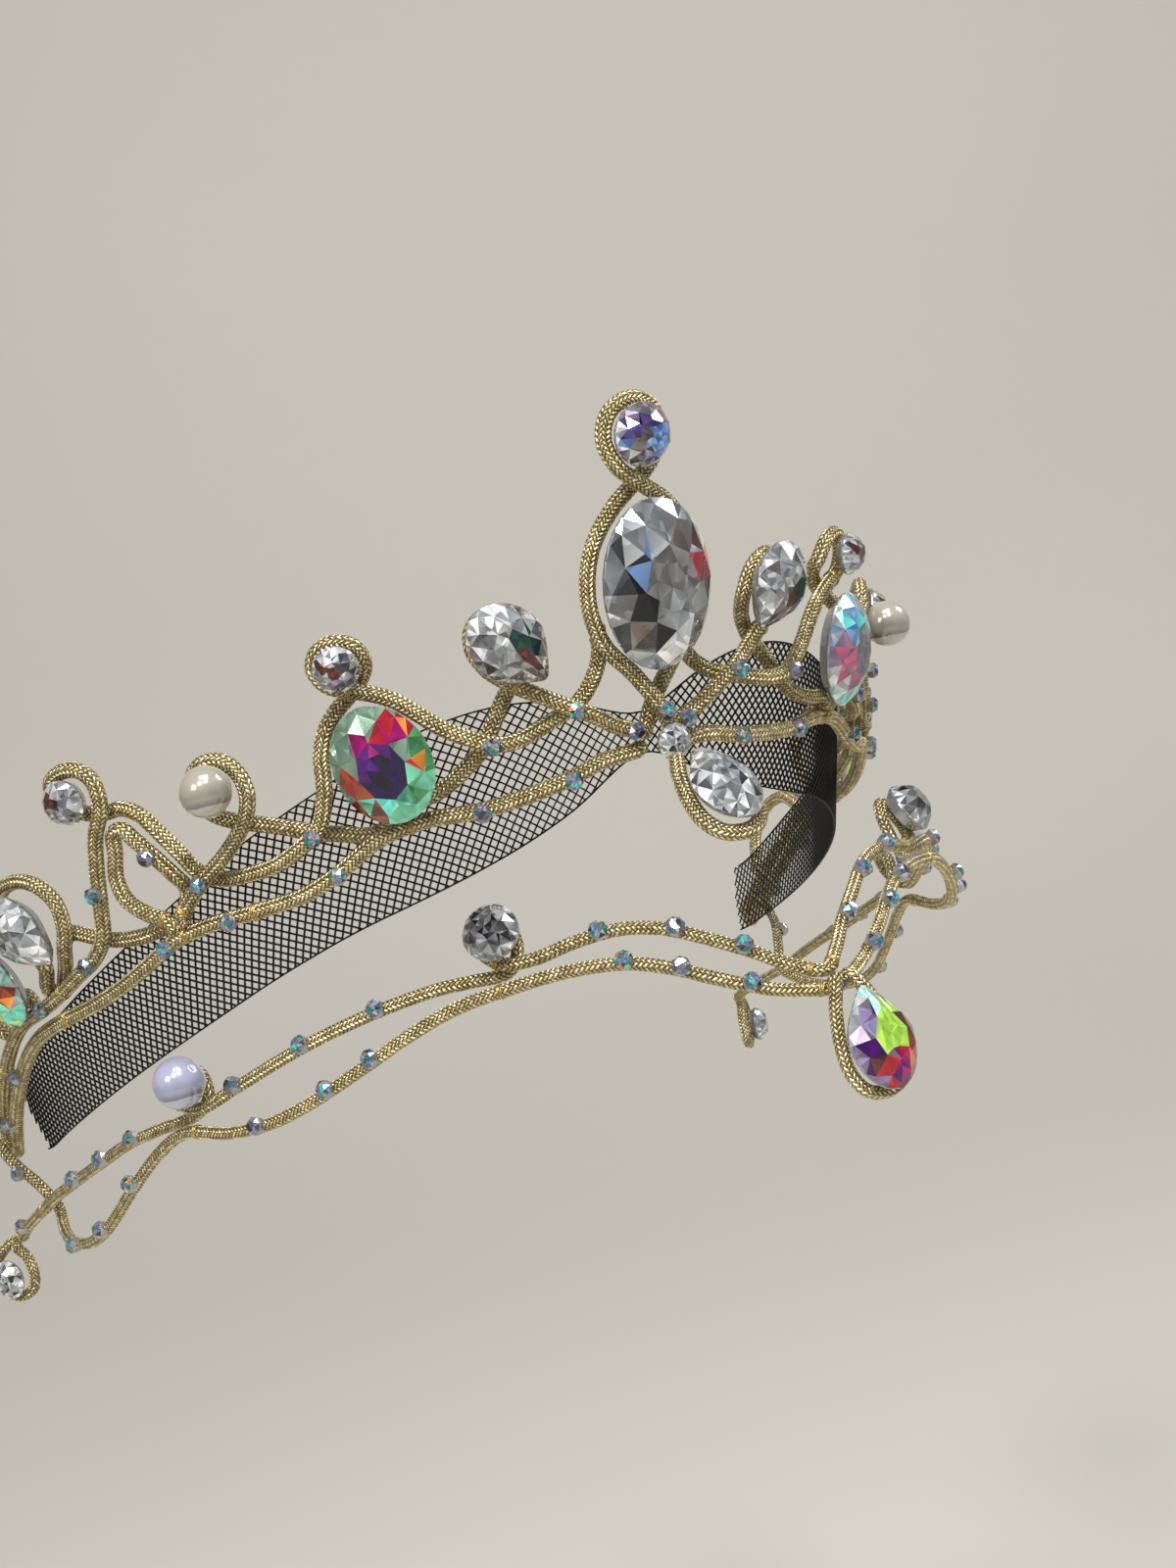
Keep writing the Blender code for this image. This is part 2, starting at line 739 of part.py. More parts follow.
def make_net_band(collection, material):
    """The crin band behind the crown, as one thin shell."""
    half = np.array(NET_BAND)
    mirrored = half[:0:-1] * np.array([-1.0, 1.0, 1.0])
    rows = np.vstack([mirrored, half])
    fine = np.linspace(rows[0, 0], rows[-1, 0], 45)
    low = np.interp(fine, rows[:, 0], rows[:, 1])
    high = np.interp(fine, rows[:, 0], rows[:, 2])
    shape = bmesh.new()
    columns = []
    for around, bottom, top in zip(fine, low, high):
        levels = (bottom, (bottom + top) / 2, top)
        columns.append([shape.verts.new(Vector(crown_point(around, up, NET_OUT)) * MM) for up in levels])
    for near, far in zip(columns, columns[1:]):
        for i in range(2):
            shape.faces.new((near[i], far[i], far[i + 1], near[i + 1]))
    mesh = bpy.data.meshes.new("net_band")
    shape.to_mesh(mesh)
    shape.free()
    mesh.materials.append(material)
    band = bpy.data.objects.new("net_band", mesh)
    collection.objects.link(band)
    wall = band.modifiers.new("Wall", "SOLIDIFY")
    wall.thickness = NET_THICK * MM
    wall.offset = 0.0


def drop_frame(drop, side):
    """The middle of a hanging drop, and its across, along and outward directions."""
    slope = math.radians(drop["slope"])
    turn = math.radians(drop["turn"]) * side
    across = np.array([math.cos(turn), math.sin(turn), 0.0])
    backward = np.array([-math.sin(turn), math.cos(turn), 0.0])
    along = backward * math.cos(slope) + np.array([0.0, 0.0, math.sin(slope)])
    return np.array(drop["middle"]) * np.array([side, 1.0, 1.0]), across, along, np.cross(across, along)


def make_drop(name, drop, side, diameter, collection, cord_finish, stone_finish):
    """A stone that hangs, point up, on a loop of cord."""
    frame = drop_frame(drop, side)
    spot, across, along, outward = frame
    path = smooth_path([spot + across * x - along * y for x, y in drop["loop"]])
    make_cord(name + "_loop", path, diameter, collection, cord_finish)
    make_stone(name, drop["shape"], frame, drop["size"], 180.0, diameter / 2 + GAP, collection, stone_finish)


def main():
    clear_scene()
    parts = new_collection("ballet_tiara")
    cutters = new_collection("cutters")
    finish = {name: make_material(name) for name in FINISHES}
    gold = finish["gold_cord"]
    paths = []

    centre = smooth_path([crown_point(*row) for row in CENTRE_LOOP])
    cord = make_cord("centre_loop", centre, CROWN_CORD, parts, gold)
    add_chatons(cord, centre, CROWN_CORD, crown_point, ((0.0, 4.4),), 1.0, cutters)
    paths.append((centre, CROWN_CORD / 2))

    for side_name, side in SIDES:
        for name, rows in CROWN_CORDS.items():
            path = smooth_path([crown_point(around * side, up, out) for around, up, out in rows])
            cord = make_cord(f"{side_name}_{name}", path, CROWN_CORD, parts, gold)
            if name in CROWN_CHATONS:
                add_chatons(cord, path, CROWN_CORD, crown_point, CROWN_CHATONS[name], side, cutters)
            paths.append((path, CROWN_CORD / 2))

    for name, rows in BROW_CORDS.items():
        whole = [(-around, up, out) for around, up, out in rows[:0:-1]] + list(rows)
        path = smooth_path([brow_point(*row) for row in whole])
        cord = make_cord(name, path, BROW_CORD, parts, gold)
        places = BROW_CHATONS[name]
        both = [(-around, up) for around, up in places if around > 0] + list(places)
        add_chatons(cord, path, BROW_CORD, brow_point, both, 1.0, cutters)
        paths.append((path, BROW_CORD / 2))

    stones = [("", 1.0, crown_point, row) for row in CENTRE_STONES]
    for side_name, side in SIDES:
        stones += [(side_name + "_", side, crown_point, row) for row in CROWN_STONES]
        stones += [(side_name + "_", side, brow_point, row) for row in BROW_STONES]
    for prefix, side, surface, (name, shape, around, up, width, length, height, turn) in stones:
        frame = surface_frame(surface, around * side, up)
        back = seat_height(frame, (width, length, height), turn * side, paths)
        look = finish["colour_crystal" if name in COLOUR_STONES else "clear_crystal"]
        make_stone(prefix + name, shape, frame, (width, length, height), turn * side, back, parts, look)

    for side_name, side in SIDES:
        around, up, diameter = CROWN_PEARL
        frame = surface_frame(crown_point, around * side, up)
        make_pearl(f"{side_name}_crown_pearl", frame, diameter, paths, parts, finish["pearl"])
        around, up, diameter = BROW_PEARL
        frame = surface_frame(brow_point, around * side, up)
        make_pearl(f"{side_name}_brow_pearl", frame, diameter, paths, parts, finish["pearl"])

        make_drop(f"{side_name}_end_drop", END_DROP, side, BROW_CORD, parts, gold, finish["clear_crystal"])

    make_drop("centre_drop", CENTRE_DROP, 1.0, CROWN_CORD, parts, gold, finish["clear_crystal"])
    make_drop("brow_drop", BROW_DROP, 1.0, BROW_CORD, parts, gold, finish["colour_crystal"])
    make_net_band(parts, finish["black_net"])


main()
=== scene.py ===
import math

import bpy
import numpy as np
from bpy.props import FloatProperty, FloatVectorProperty, PointerProperty
from bpy.types import Operator, Panel, PropertyGroup
from mathutils import Matrix, Vector


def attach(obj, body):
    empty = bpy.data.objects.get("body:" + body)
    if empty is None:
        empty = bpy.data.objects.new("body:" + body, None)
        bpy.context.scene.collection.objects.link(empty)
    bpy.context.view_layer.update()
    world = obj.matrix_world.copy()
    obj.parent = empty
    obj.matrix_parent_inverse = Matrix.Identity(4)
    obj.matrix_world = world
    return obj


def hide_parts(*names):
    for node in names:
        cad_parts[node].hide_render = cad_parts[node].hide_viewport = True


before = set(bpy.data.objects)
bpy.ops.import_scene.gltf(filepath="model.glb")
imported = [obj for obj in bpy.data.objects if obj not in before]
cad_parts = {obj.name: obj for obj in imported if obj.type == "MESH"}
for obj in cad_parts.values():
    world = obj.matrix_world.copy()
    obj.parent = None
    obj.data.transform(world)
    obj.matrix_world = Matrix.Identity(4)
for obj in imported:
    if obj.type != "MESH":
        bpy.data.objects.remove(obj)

bl_info = {
    "name": "Ballet Tiara",
    "version": (1, 0, 0),
    "blender": (4, 5, 0),
    "location": "3D View > Sidebar > Tiara",
    "description": "Dresses the tiara's frame with braided cord, cut stones, pearls, thread wraps and net",
    "category": "Object",
}

MM = 0.001
BODY = "root"

# Cord and stone sizes, the gaps between solids, and how far behind the crown the net stands, in millimetres
CROWN_CORD = 2.4
BROW_CORD = 1.9
CHATON = 2.9
GAP = 0.32
SEAT_GAP = 0.42
NET_OUT = -4.8
# A stone's foot as a share of its width, and its girdle's level as a share of its height
FOOT_SCALE = 0.78
GIRDLE_LEVEL = 0.34

# The crown's foot is an ellipse round the head, and the crown leans outward as it rises from it
CROWN_HALF_WIDTH = 81.0
CROWN_HALF_DEPTH = 100.0
CROWN_FRONT = -80.5
CROWN_LEAN = 0.2
FOOT_DROP = 25.0
FOOT_DROP_AT = 60.0
FOOT_DROP_POWER = 1.5

# The forehead garland lies on an egg a little larger than the head
BROW_HALF_WIDTH = 82.0
BROW_HALF_DEPTH = 126.0
BROW_HALF_HEIGHT = 124.0
BROW_MIDDLE = -94.0

# One cord crosses itself over the centre stones: wearer's right foot, oval loop, round loop and back
CENTRE_LOOP = (
    # around, up, out
    (1.3, 0.0, 1.4),
    (0.0, 4.4, 1.4),
    (-2.4, 9.9, 0.7),
    (-5.3, 15.4, 0.0),
    (-6.4, 22.0, 0.0),
    (-5.5, 29.0, 0.0),
    (-2.6, 34.3, -1.0),
    (0.0, 37.2, -1.4),
    (2.2, 40.3, -0.9),
    (3.0, 44.3, 0.0),
    (2.2, 48.0, 0.0),
    (0.0, 49.5, 0.0),
    (-2.2, 48.0, 0.0),
    (-3.0, 44.3, 0.0),
    (-2.2, 40.3, 0.9),
    (0.0, 37.2, 1.4),
    (2.6, 34.3, 1.0),
    (5.5, 29.0, 0.0),
    (6.4, 22.0, 0.0),
    (5.3, 15.4, 0.0),
    (2.4, 9.9, -0.7),
    (0.0, 4.4, -1.4),
    (-1.3, 0.0, -1.4),
)

# Each half of the crown: name, then rows of around, up, out
CROWN_CORDS = {
    "front_swag": (
        (4.9, 17.2, -2.8),
        (5.1, 13.6, -2.8),
        (6.3, 10.3, -2.6),
        (8.3, 7.8, -1.8),
        (9.9, 6.8, -1.4),
        (13.6, 5.1, 0.0),
        (15.9, 4.3, 1.0),
        (18.0, 4.5, 1.4),
        (20.6, 6.4, 1.0),
        (22.7, 8.5, 0.4),
        (24.5, 11.0, 0.0),
        (26.3, 13.6, 0.0),
        (28.2, 15.3, 0.0),
        (30.2, 16.5, 0.0),
        (32.0, 17.8, 0.0),
        (32.8, 20.2, 0.0),
        (32.2, 22.6, 0.0),
        (30.6, 23.6, 0.0),
        (29.0, 22.7, -0.2),
        (28.4, 20.3, -1.1),
        (29.0, 18.2, -2.6),
        (30.4, 15.9, -2.8),
        (32.2, 13.5, -1.8),
        (33.4, 10.9, -0.4),
        (34.2, 7.7, 0.0),
        (34.5, 4.7, 0.0),
        (34.8, 2.2, 0.0),
    ),
    "pear_stem": (
        (3.1, 1.9, 0.0),
        (5.1, 3.1, 0.5),
        (7.5, 5.3, 1.2),
        (9.8, 7.3, 1.4),
        (13.0, 10.3, 0.4),
        (15.6, 12.9, 0.0),
        (17.4, 15.4, 0.0),
        (18.4, 18.6, 0.0),
        (18.1, 21.6, 0.0),
        (16.4, 23.2, 0.0),
        (14.3, 21.8, 0.0),
        (13.3, 18.4, -0.6),
        (13.8, 15.2, -2.0),
        (15.0, 12.5, -2.8),
        (16.2, 10.2, -2.8),
        (17.8, 6.8, -1.7),
        (19.0, 4.2, -1.4),
        (20.6, 2.3, -1.4),
        (22.5, 0.4, -1.2),
        (24.6, -1.0, -0.4),
        (26.8, -1.5, 0.0),
    ),
    "foot_band": (
        (3.1, -1.4, 0.0),
        (6.7, -1.6, 0.0),
        (10.3, -2.9, 0.0),
        (15.0, -4.1, 0.0),
        (20.2, -4.8, 0.0),
        (26.2, -4.6, 0.0),
        (30.8, -6.0, 0.0),
        (35.7, -10.0, 0.0),
        (39.5, -12.3, 0.0),
        (44.6, -13.6, 0.0),
        (49.5, -14.6, 0.0),
        (53.8, -16.4, 0.0),
        (57.6, -19.6, 0.0),
        (61.5, -22.7, 0.0),
        (66.4, -25.7, 0.0),
        (72.0, -28.4, 0.0),
        (77.0, -31.6, 0.0),
        (82.0, -37.0, 0.0),
        (87.0, -43.8, 0.0),
        (91.5, -50.6, 0.0),
        (94.0, -54.8, 0.0),
    ),
    "side_swag": (
        (35.0, 1.7, 0.0),
        (35.5, -0.7, 0.0),
        (36.6, -3.2, 0.0),
        (38.8, -5.4, 0.0),
        (41.3, -7.1, -0.6),
        (44.5, -8.0, -1.8),
        (47.3, -8.3, -2.7),
        (49.0, -7.8, -2.8),
        (50.3, -6.2, -2.7),
        (50.9, -3.3, -1.8),
        (52.0, 0.4, -1.2),
        (53.7, 3.5, -2.0),
        (55.8, 4.9, -2.8),
        (57.9, 4.6, -2.8),
        (60.1, 5.6, -1.4),
        (61.2, 7.9, -0.4),
        (60.9, 10.5, 0.0),
        (59.3, 12.1, 0.0),
        (57.5, 12.0, 0.0),
        (56.4, 10.3, 0.0),
        (56.3, 7.6, 0.0),
        (56.9, 4.8, 0.0),
        (58.2, 1.6, 0.0),
        (59.4, -3.2, 0.0),
        (60.7, -9.6, 0.0),
        (61.9, -14.7, 0.0),
        (64.1, -18.2, 0.0),
        (66.9, -20.6, 0.0),
        (70.2, -23.4, 0.0),
        (74.0, -26.2, 0.0),
        (78.9, -29.2, 0.0),
        (83.8, -34.6, 0.0),
        (88.7, -41.3, 0.0),
        (93.0, -48.4, 0.0),
        (95.4, -52.6, 0.0),
    ),
    "pearl_stem": (
        (28.9, -4.4, -2.8),
        (31.9, -5.4, -2.8),
        (34.7, -4.5, -2.8),
        (37.2, -3.6, -2.8),
        (40.0, -2.0, -2.8),
        (42.9, -0.6, -2.8),
        (44.8, 0.3, -2.8),
        (46.3, 1.9, -2.0),
        (47.1, 4.6, -1.0),
        (46.8, 7.6, -0.5),
        (45.1, 9.9, 0.0),
        (43.2, 9.7, 0.0),
        (42.1, 7.4, 0.0),
        (41.9, 4.3, 0.0),
        (42.6, 1.2, 0.0),
        (44.0, -1.6, 0.0),
        (46.2, -4.7, 0.0),
        (48.9, -7.7, 0.0),
        (50.7, -10.2, 0.0),
        (52.0, -12.2, 0.0),
    ),
    "peak_stem": (
        (52.6, -11.4, -2.8),
        (51.9, -8.8, -2.6),
        (52.2, -6.0, -1.2),
        (53.0, -2.6, 0.0),
        (54.2, 0.0, 0.0),
        (55.2, 2.0, 0.0),
        (56.2, 1.5, 0.0),
        (56.8, -1.4, 0.0),
        (57.7, -5.4, 0.0),
        (57.5, -8.9, 0.0),
        (56.0, -11.4, 0.0),
        (54.2, -12.9, 0.0),
    ),
    "peak_link": (
        (54.6, -14.0, -2.8),
        (56.4, -14.8, -2.8),
        (58.8, -15.6, -2.8),
        (61.8, -15.8, -2.8),
        (64.3, -15.2, -2.8),
        (66.4, -14.2, -2.8),
        (67.5, -13.9, -2.8),
    ),
    "tip_stem": (
        (72.0, -23.2, -2.8),
        (70.7, -21.0, -2.4),
        (68.8, -18.6, -1.1),
        (67.3, -16.0, 0.0),
        (66.2, -12.4, 0.0),
        (66.0, -8.2, 0.0),
        (67.5, -5.2, 0.0),
        (69.8, -4.2, 0.0),
        (72.5, -5.5, 0.0),
        (74.2, -8.6, 0.0),
        (74.5, -11.8, 0.0),
    ),
    "tip_oval_loop": (
        (71.7, -21.5, 0.0),
        (71.0, -18.9, 0.0),
        (72.0, -16.3, 0.0),
        (74.8, -14.9, 0.0),
        (78.6, -14.9, 0.0),
        (81.9, -17.2, 0.0),
        (83.0, -20.8, 0.0),
        (81.3, -24.2, 0.0),
        (78.2, -25.6, 0.0),
        (76.0, -23.8, 0.0),
    ),
    "end_loop": (
        (83.0, -30.4, 0.0),
        (86.4, -29.4, 0.0),
        (90.4, -32.0, 0.0),
        (92.7, -37.2, 0.0),
        (92.7, -43.0, 0.0),
    ),
}

# Small chatons glued along each crown cord: around, up of each
CROWN_CHATONS = {
    "pear_stem": ((3.2, 2.0), (9.9, 7.3)),
    "front_swag": ((18.6, 4.9),),
    "foot_band": (
        (10.8, -3.1),
        (20.6, -4.8),
        (35.4, -9.8),
        (47.2, -14.1),
        (54.6, -17.0),
        (83.0, -38.4),
        (90.0, -48.4),
    ),
    "side_swag": ((36.9, -3.3), (60.2, -7.2), (64.4, -18.5), (73.0, -25.5), (92.6, -47.8)),
    "pearl_stem": ((48.9, -7.7),),
    "peak_stem": ((53.3, -2.5),),
    "end_loop": ((85.0, -29.5),),
}

# Black crin band behind the crown: around, low edge, high edge
NET_BAND = (
    (0.0, -1.8, 3.2),
    (2.8, -2.6, 3.9),
    (7.0, -7.0, 7.3),
    (15.0, -11.5, 9.7),
    (22.5, -14.7, 9.2),
    (30.0, -17.5, 6.2),
    (36.7, -20.0, 2.2),
    (46.0, -25.0, -3.8),
    (55.0, -30.8, -11.3),
    (66.0, -38.0, -20.2),
    (80.0, -47.5, -31.5),
    (93.5, -56.5, -44.0),
)

# The garland's two cords, from the centre front to the wearer's side: around, up, out
BROW_CORDS = {
    "brow_upper": (
        (0.0, -34.8, 1.6),
        (3.2, -32.6, 0.6),
        (6.7, -29.4, 0.0),
        (11.3, -26.2, 0.0),
        (15.5, -23.9, 0.0),
        (20.0, -23.0, 0.0),
        (25.0, -23.6, 0.0),
        (29.5, -24.8, 0.0),
        (32.8, -24.8, 0.0),
        (34.7, -22.9, 0.0),
        (34.5, -20.0, 0.0),
        (32.9, -18.8, 0.0),
        (31.3, -20.0, -0.6),
        (31.2, -22.9, -1.6),
        (32.8, -25.2, -2.3),
        (36.5, -26.3, -0.8),
        (39.7, -26.9, 0.0),
        (46.4, -28.9, 0.0),
        (54.9, -32.9, 0.0),
        (63.5, -38.6, 0.0),
        (68.0, -41.7, 0.0),
        (70.6, -41.6, 0.0),
        (72.1, -39.6, 0.0),
        (71.6, -36.8, 0.0),
        (69.9, -35.9, 0.0),
        (68.4, -37.2, -0.8),
        (68.4, -40.0, -1.8),
        (70.4, -42.8, -2.3),
        (74.5, -45.4, -0.8),
        (78.5, -47.9, 0.0),
        (84.3, -52.4, 0.0),
        (91.2, -57.8, 0.0),
        (95.2, -61.4, 0.8),
        (98.4, -64.6, 1.3),
        (101.8, -67.4, 1.4),
        (105.2, -70.2, 1.6),
        (107.6, -73.0, 2.4),
    ),
    "brow_lower": (
        (0.0, -37.2, 1.6),
        (3.0, -36.3, 1.0),
        (5.8, -35.1, 0.3),
        (8.5, -33.6, 0.0),
        (12.4, -31.3, 0.0),
        (15.8, -29.2, 0.0),
        (20.5, -27.4, 0.0),
        (26.5, -27.1, 0.0),
        (33.3, -28.2, 0.0),
        (38.5, -29.7, 0.0),
        (43.5, -32.4, 0.0),
        (48.5, -36.0, 0.0),
        (54.6, -40.5, 0.0),
        (59.0, -43.2, 0.0),
        (64.0, -44.9, 0.0),
        (70.5, -45.6, 0.0),
        (74.2, -49.0, 0.0),
        (78.3, -54.8, 0.0),
        (83.5, -62.6, 0.0),
        (87.4, -66.0, 0.0),
        (91.6, -67.2, 0.0),
        (95.2, -66.4, -0.8),
        (97.7, -63.8, -1.2),
        (98.6, -60.2, 1.4),
        (100.0, -57.0, 4.8),
        (101.6, -54.4, 7.0),
    ),
}

BROW_CHATONS = {
    "brow_upper": (
        (7.5, -28.8),
        (14.0, -24.7),
        (22.0, -23.1),
        (46.4, -28.9),
        (54.9, -32.9),
        (63.0, -38.3),
        (77.5, -47.2),
        (83.0, -51.4),
        (89.0, -56.1),
        (104.8, -69.9),
    ),
    "brow_lower": (
        (0.0, -37.2),
        (8.5, -33.6),
        (15.1, -29.6),
        (20.5, -27.4),
        (47.6, -35.4),
        (52.5, -39.0),
        (60.5, -43.8),
        (77.8, -54.0),
        (83.3, -62.3),
        (89.4, -66.8),
        (99.4, -58.3),
    ),
}

# Loops of cord under the two drops, as offsets in the drop's own plane: across, along from the middle
DROP_LOOP = (
    (-1.5, -9.2),
    (-3.3, -5.4),
    (-4.6, -0.4),
    (-4.6, 3.6),
    (-3.0, 6.3),
    (0.0, 7.2),
    (3.0, 6.3),
    (4.6, 3.6),
    (4.6, -0.4),
    (3.3, -5.4),
    (1.5, -9.2),
)
END_LOOP = (
    (-1.4, -4.9),
    (-3.0, -3.2),
    (-3.7, -0.2),
    (-2.9, 2.7),
    (0.0, 4.0),
    (2.9, 2.7),
    (3.7, -0.2),
    (3.0, -3.2),
    (1.4, -4.9),
)

# Stones of one half of the crown: name, shape, around, up, width, length, height, turn from upright
CROWN_STONES = (
    ("front_pear", "pear", 15.3, 18.9, 11.2, 14.6, 5.0, -38.0),
    ("colour_oval", "oval", 28.6, 5.8, 14.4, 18.4, 5.2, -12.0),
    ("oval_round", "round", 30.6, 20.5, 6.8, 6.8, 3.6, 0.0),
    ("peak_round", "round", 59.0, 8.0, 7.2, 7.2, 4.2, 0.0),
    ("tip_pear", "pear", 70.0, -11.6, 11.2, 14.6, 5.0, -43.0),
    ("tip_oval", "oval", 76.9, -20.4, 12.0, 15.6, 4.8, -40.0),
)
CENTRE_STONES = (
    ("centre_oval", "oval", 0.0, 23.2, 18.6, 25.6, 6.8, 0.0),
    ("centre_round", "round", 0.0, 44.6, 9.4, 9.4, 5.0, 0.0),
    ("centre_chaton", "round", 0.0, 0.0, 5.6, 5.6, 3.4, 0.0),
)
BROW_STONES = (
    ("brow_round", "round", 32.7, -21.6, 8.4, 8.4, 4.6, 0.0),
)
CROWN_PEARL = (44.3, 7.0, 7.8)
BROW_PEARL = (67.9, -38.2, 8.0)

# The drops: middle of the loop in millimetres, slope of its plane from level and turn from facing forward in
# degrees, the stone's size and shape
CENTRE_DROP = {
    "middle": (0.0, -93.6, -9.4),
    "slope": 43.0,
    "turn": 0.0,
    "size": (10.6, 14.6, 4.4),
    "shape": "pear",
    "loop": DROP_LOOP,
}
BROW_DROP = {
    "middle": (0.0, -119.4, -43.7),
    "slope": 72.0,
    "turn": 0.0,
    "size": (10.8, 14.8, 4.6),
    "shape": "pear",
    "loop": DROP_LOOP,
}
END_DROP = {
    "middle": (81.5, 39.6, -79.5),
    "slope": 90.0,
    "turn": 49.0,
    "size": (5.8, 7.2, 3.2),
    "shape": "oval",
    "loop": END_LOOP,
}

SIDES = (("right", -1.0), ("left", 1.0))

# The stones: points round the girdle, and how a pear narrows toward its point
GIRDLE_POINTS = 32
PEAR_NARROWING = 0.62
PEAR_POWER = 1.6
# The rings of a cut stone: share of the girdle, share of the height
FOOT_RING = (FOOT_SCALE, 0.0)
LOW_RING = (0.985, GIRDLE_LEVEL - 0.03)
GIRDLE_RING = (1.0, GIRDLE_LEVEL + 0.03)
RIM_RING = (0.995, GIRDLE_LEVEL + 0.09)
TIP_RING = (0.93, 0.56)
SIDE_RING = (0.80, 0.76)
HIGH_RING = (0.62, 0.925)
TABLE_RING = (0.50, 1.0)
INNER_RING = (0.30, 1.0)
# A chaton's rings: share of its width, level as a share of the width, and steps turned; then the level of
# its table, the turn from one chaton to the next in radians, and its back's place out from the cord's middle
CHATON_SIDES = 8
CHATON_RINGS = ((0.86, 0.0, 0.0), (1.0, 0.36, 0.0), (0.98, 0.44, 0.0), (0.58, 0.66, 0.5))
CHATON_TABLE = 0.665
CHATON_TURN = 0.7
CHATON_LIFT = 0.30
# How a facet's painted reflection grows lighter from corner to corner, and the step from one facet's shard
# pattern to the next
FACET_FALL = (0.72, 1.0, 1.28)
FACET_SHIFT = 0.618

# How near a cord has to lie to carry a stone, as a share of the stone and in millimetres of depth, and the
# places across a cord, in radii, at which its height is taken
SEAT_REACH = 1.6
SEAT_DEPTH = 7.0
PEARL_SEAT_DEPTH = 8.0
CORD_SLICES = np.linspace(-0.9, 0.9, 7)

# Pearls: segments and rings, how far off round, the drilled ends' width and depth
PEARL_SEGMENTS = 40
PEARL_RINGS = 26
PEARL_WOBBLE = 0.006
PEARL_HOLE = 0.035
PEARL_SINK = 0.07
PEARL_SINK_WIDTH = 0.16

# Spacing of a path's points in millimetres, where a braid's end rounds off, in radii, and the least that is
# left of its thickness there, squared
PATH_STEP = 0.25
END_ROUNDING = 0.7
END_THINNEST = 0.09

# Ties: points a turn, spacing of the turns, sides of a thread, and how far out its middle lies, in threads
TIE_POINTS = 14
TIE_SPACING = 1.3
TIE_SIDES = 5
TIE_BITE = 0.4

# The net's band: stations along it, how many are smoothed together, and how many its edge threads skip
NET_STATIONS = 600
NET_BLUR = 25
NET_EDGE_STEP = 4
# The net's threads: spacing of their points in millimetres, how many are thinned to one, the fewest that
# are woven, how far the two layers lie from the middle in millimetres, and sides of a thread
NET_RISE = 0.1
NET_THINNING = 11
NET_SHORTEST = 6
NET_LAYER = 0.13
NET_SIDES = 4

# Wraps of gold thread on the cords: cord, around, up, turns
CROWN_TIES = (
    ("front_swag", 5.0, 15.6, 4),
    ("front_swag", 9.4, 7.1, 4),
    ("pear_stem", 14.9, 12.6, 4),
    ("foot_band", 27.6, -4.9, 5),
    ("pearl_stem", 29.6, -4.8, 4),
    ("front_swag", 30.2, 16.4, 4),
    ("side_swag", 48.9, -7.9, 3),
    ("foot_band", 44.6, -13.6, 6),
    ("peak_stem", 53.9, -12.6, 4),
    ("pearl_stem", 51.6, -11.6, 4),
    ("foot_band", 52.4, -15.6, 4),
    ("side_swag", 69.8, -23.1, 5),
    ("foot_band", 70.6, -27.7, 5),
    ("side_swag", 86.0, -37.6, 6),
)
BROW_TIES = (
    ("brow_upper", 1.2, -34.1, 5),
    ("brow_lower", 1.4, -36.9, 5),
    ("brow_upper", 33.8, -25.4, 5),
    ("brow_lower", 33.6, -28.2, 4),
    ("brow_upper", 71.2, -43.2, 5),
    ("brow_lower", 68.6, -45.4, 5),
    ("brow_upper", 97.4, -63.7, 4),
    ("brow_upper", 107.6, -72.4, 3),
)
# In millimetres: how far a braid's end is carried on where no other cord is near, how near to the other
# cord's middle line it stops where one is, and how far off that cord may be
END_REACH = 0.32
END_IN = 0.95
CROWN_REACH = 4.2
DROP_REACH = 7.5
# Strands round a cord, and points across a strand
CROWN_STRANDS = 10
BROW_STRANDS = 8
SIDES_PER_STRAND = 3

# Finish colours, linear; the braid's light gold is painted light on its strands' crowns and its deep gold is
# painted shade between the strands
GOLD_PAINTED_LIT = (0.86, 0.73, 0.40)
GOLD_PAINTED_SHADE = (0.080, 0.058, 0.019)
THREAD_GOLD = (0.66, 0.43, 0.06)
THREAD_LIGHT = (0.80, 0.62, 0.24)
THREAD_SHADE = 0.45
FOIL_SILVER = (0.50, 0.51, 0.52)
FOIL_SCUFF = (0.22, 0.22, 0.22)
PEARL_CREAM = (0.37, 0.35, 0.29)
PEARL_CREAM_SHEEN = (0.50, 0.48, 0.42)
PEARL_LILAC = (0.38, 0.40, 0.58)
PEARL_LILAC_SHEEN = (0.52, 0.47, 0.54)
NET_BLACK = (0.004, 0.004, 0.005)
NET_LINT = (0.014, 0.013, 0.012)
STAGE_SHADE = (0.565, 0.548, 0.50)
STAGE_LIGHT = (0.60, 0.583, 0.535)
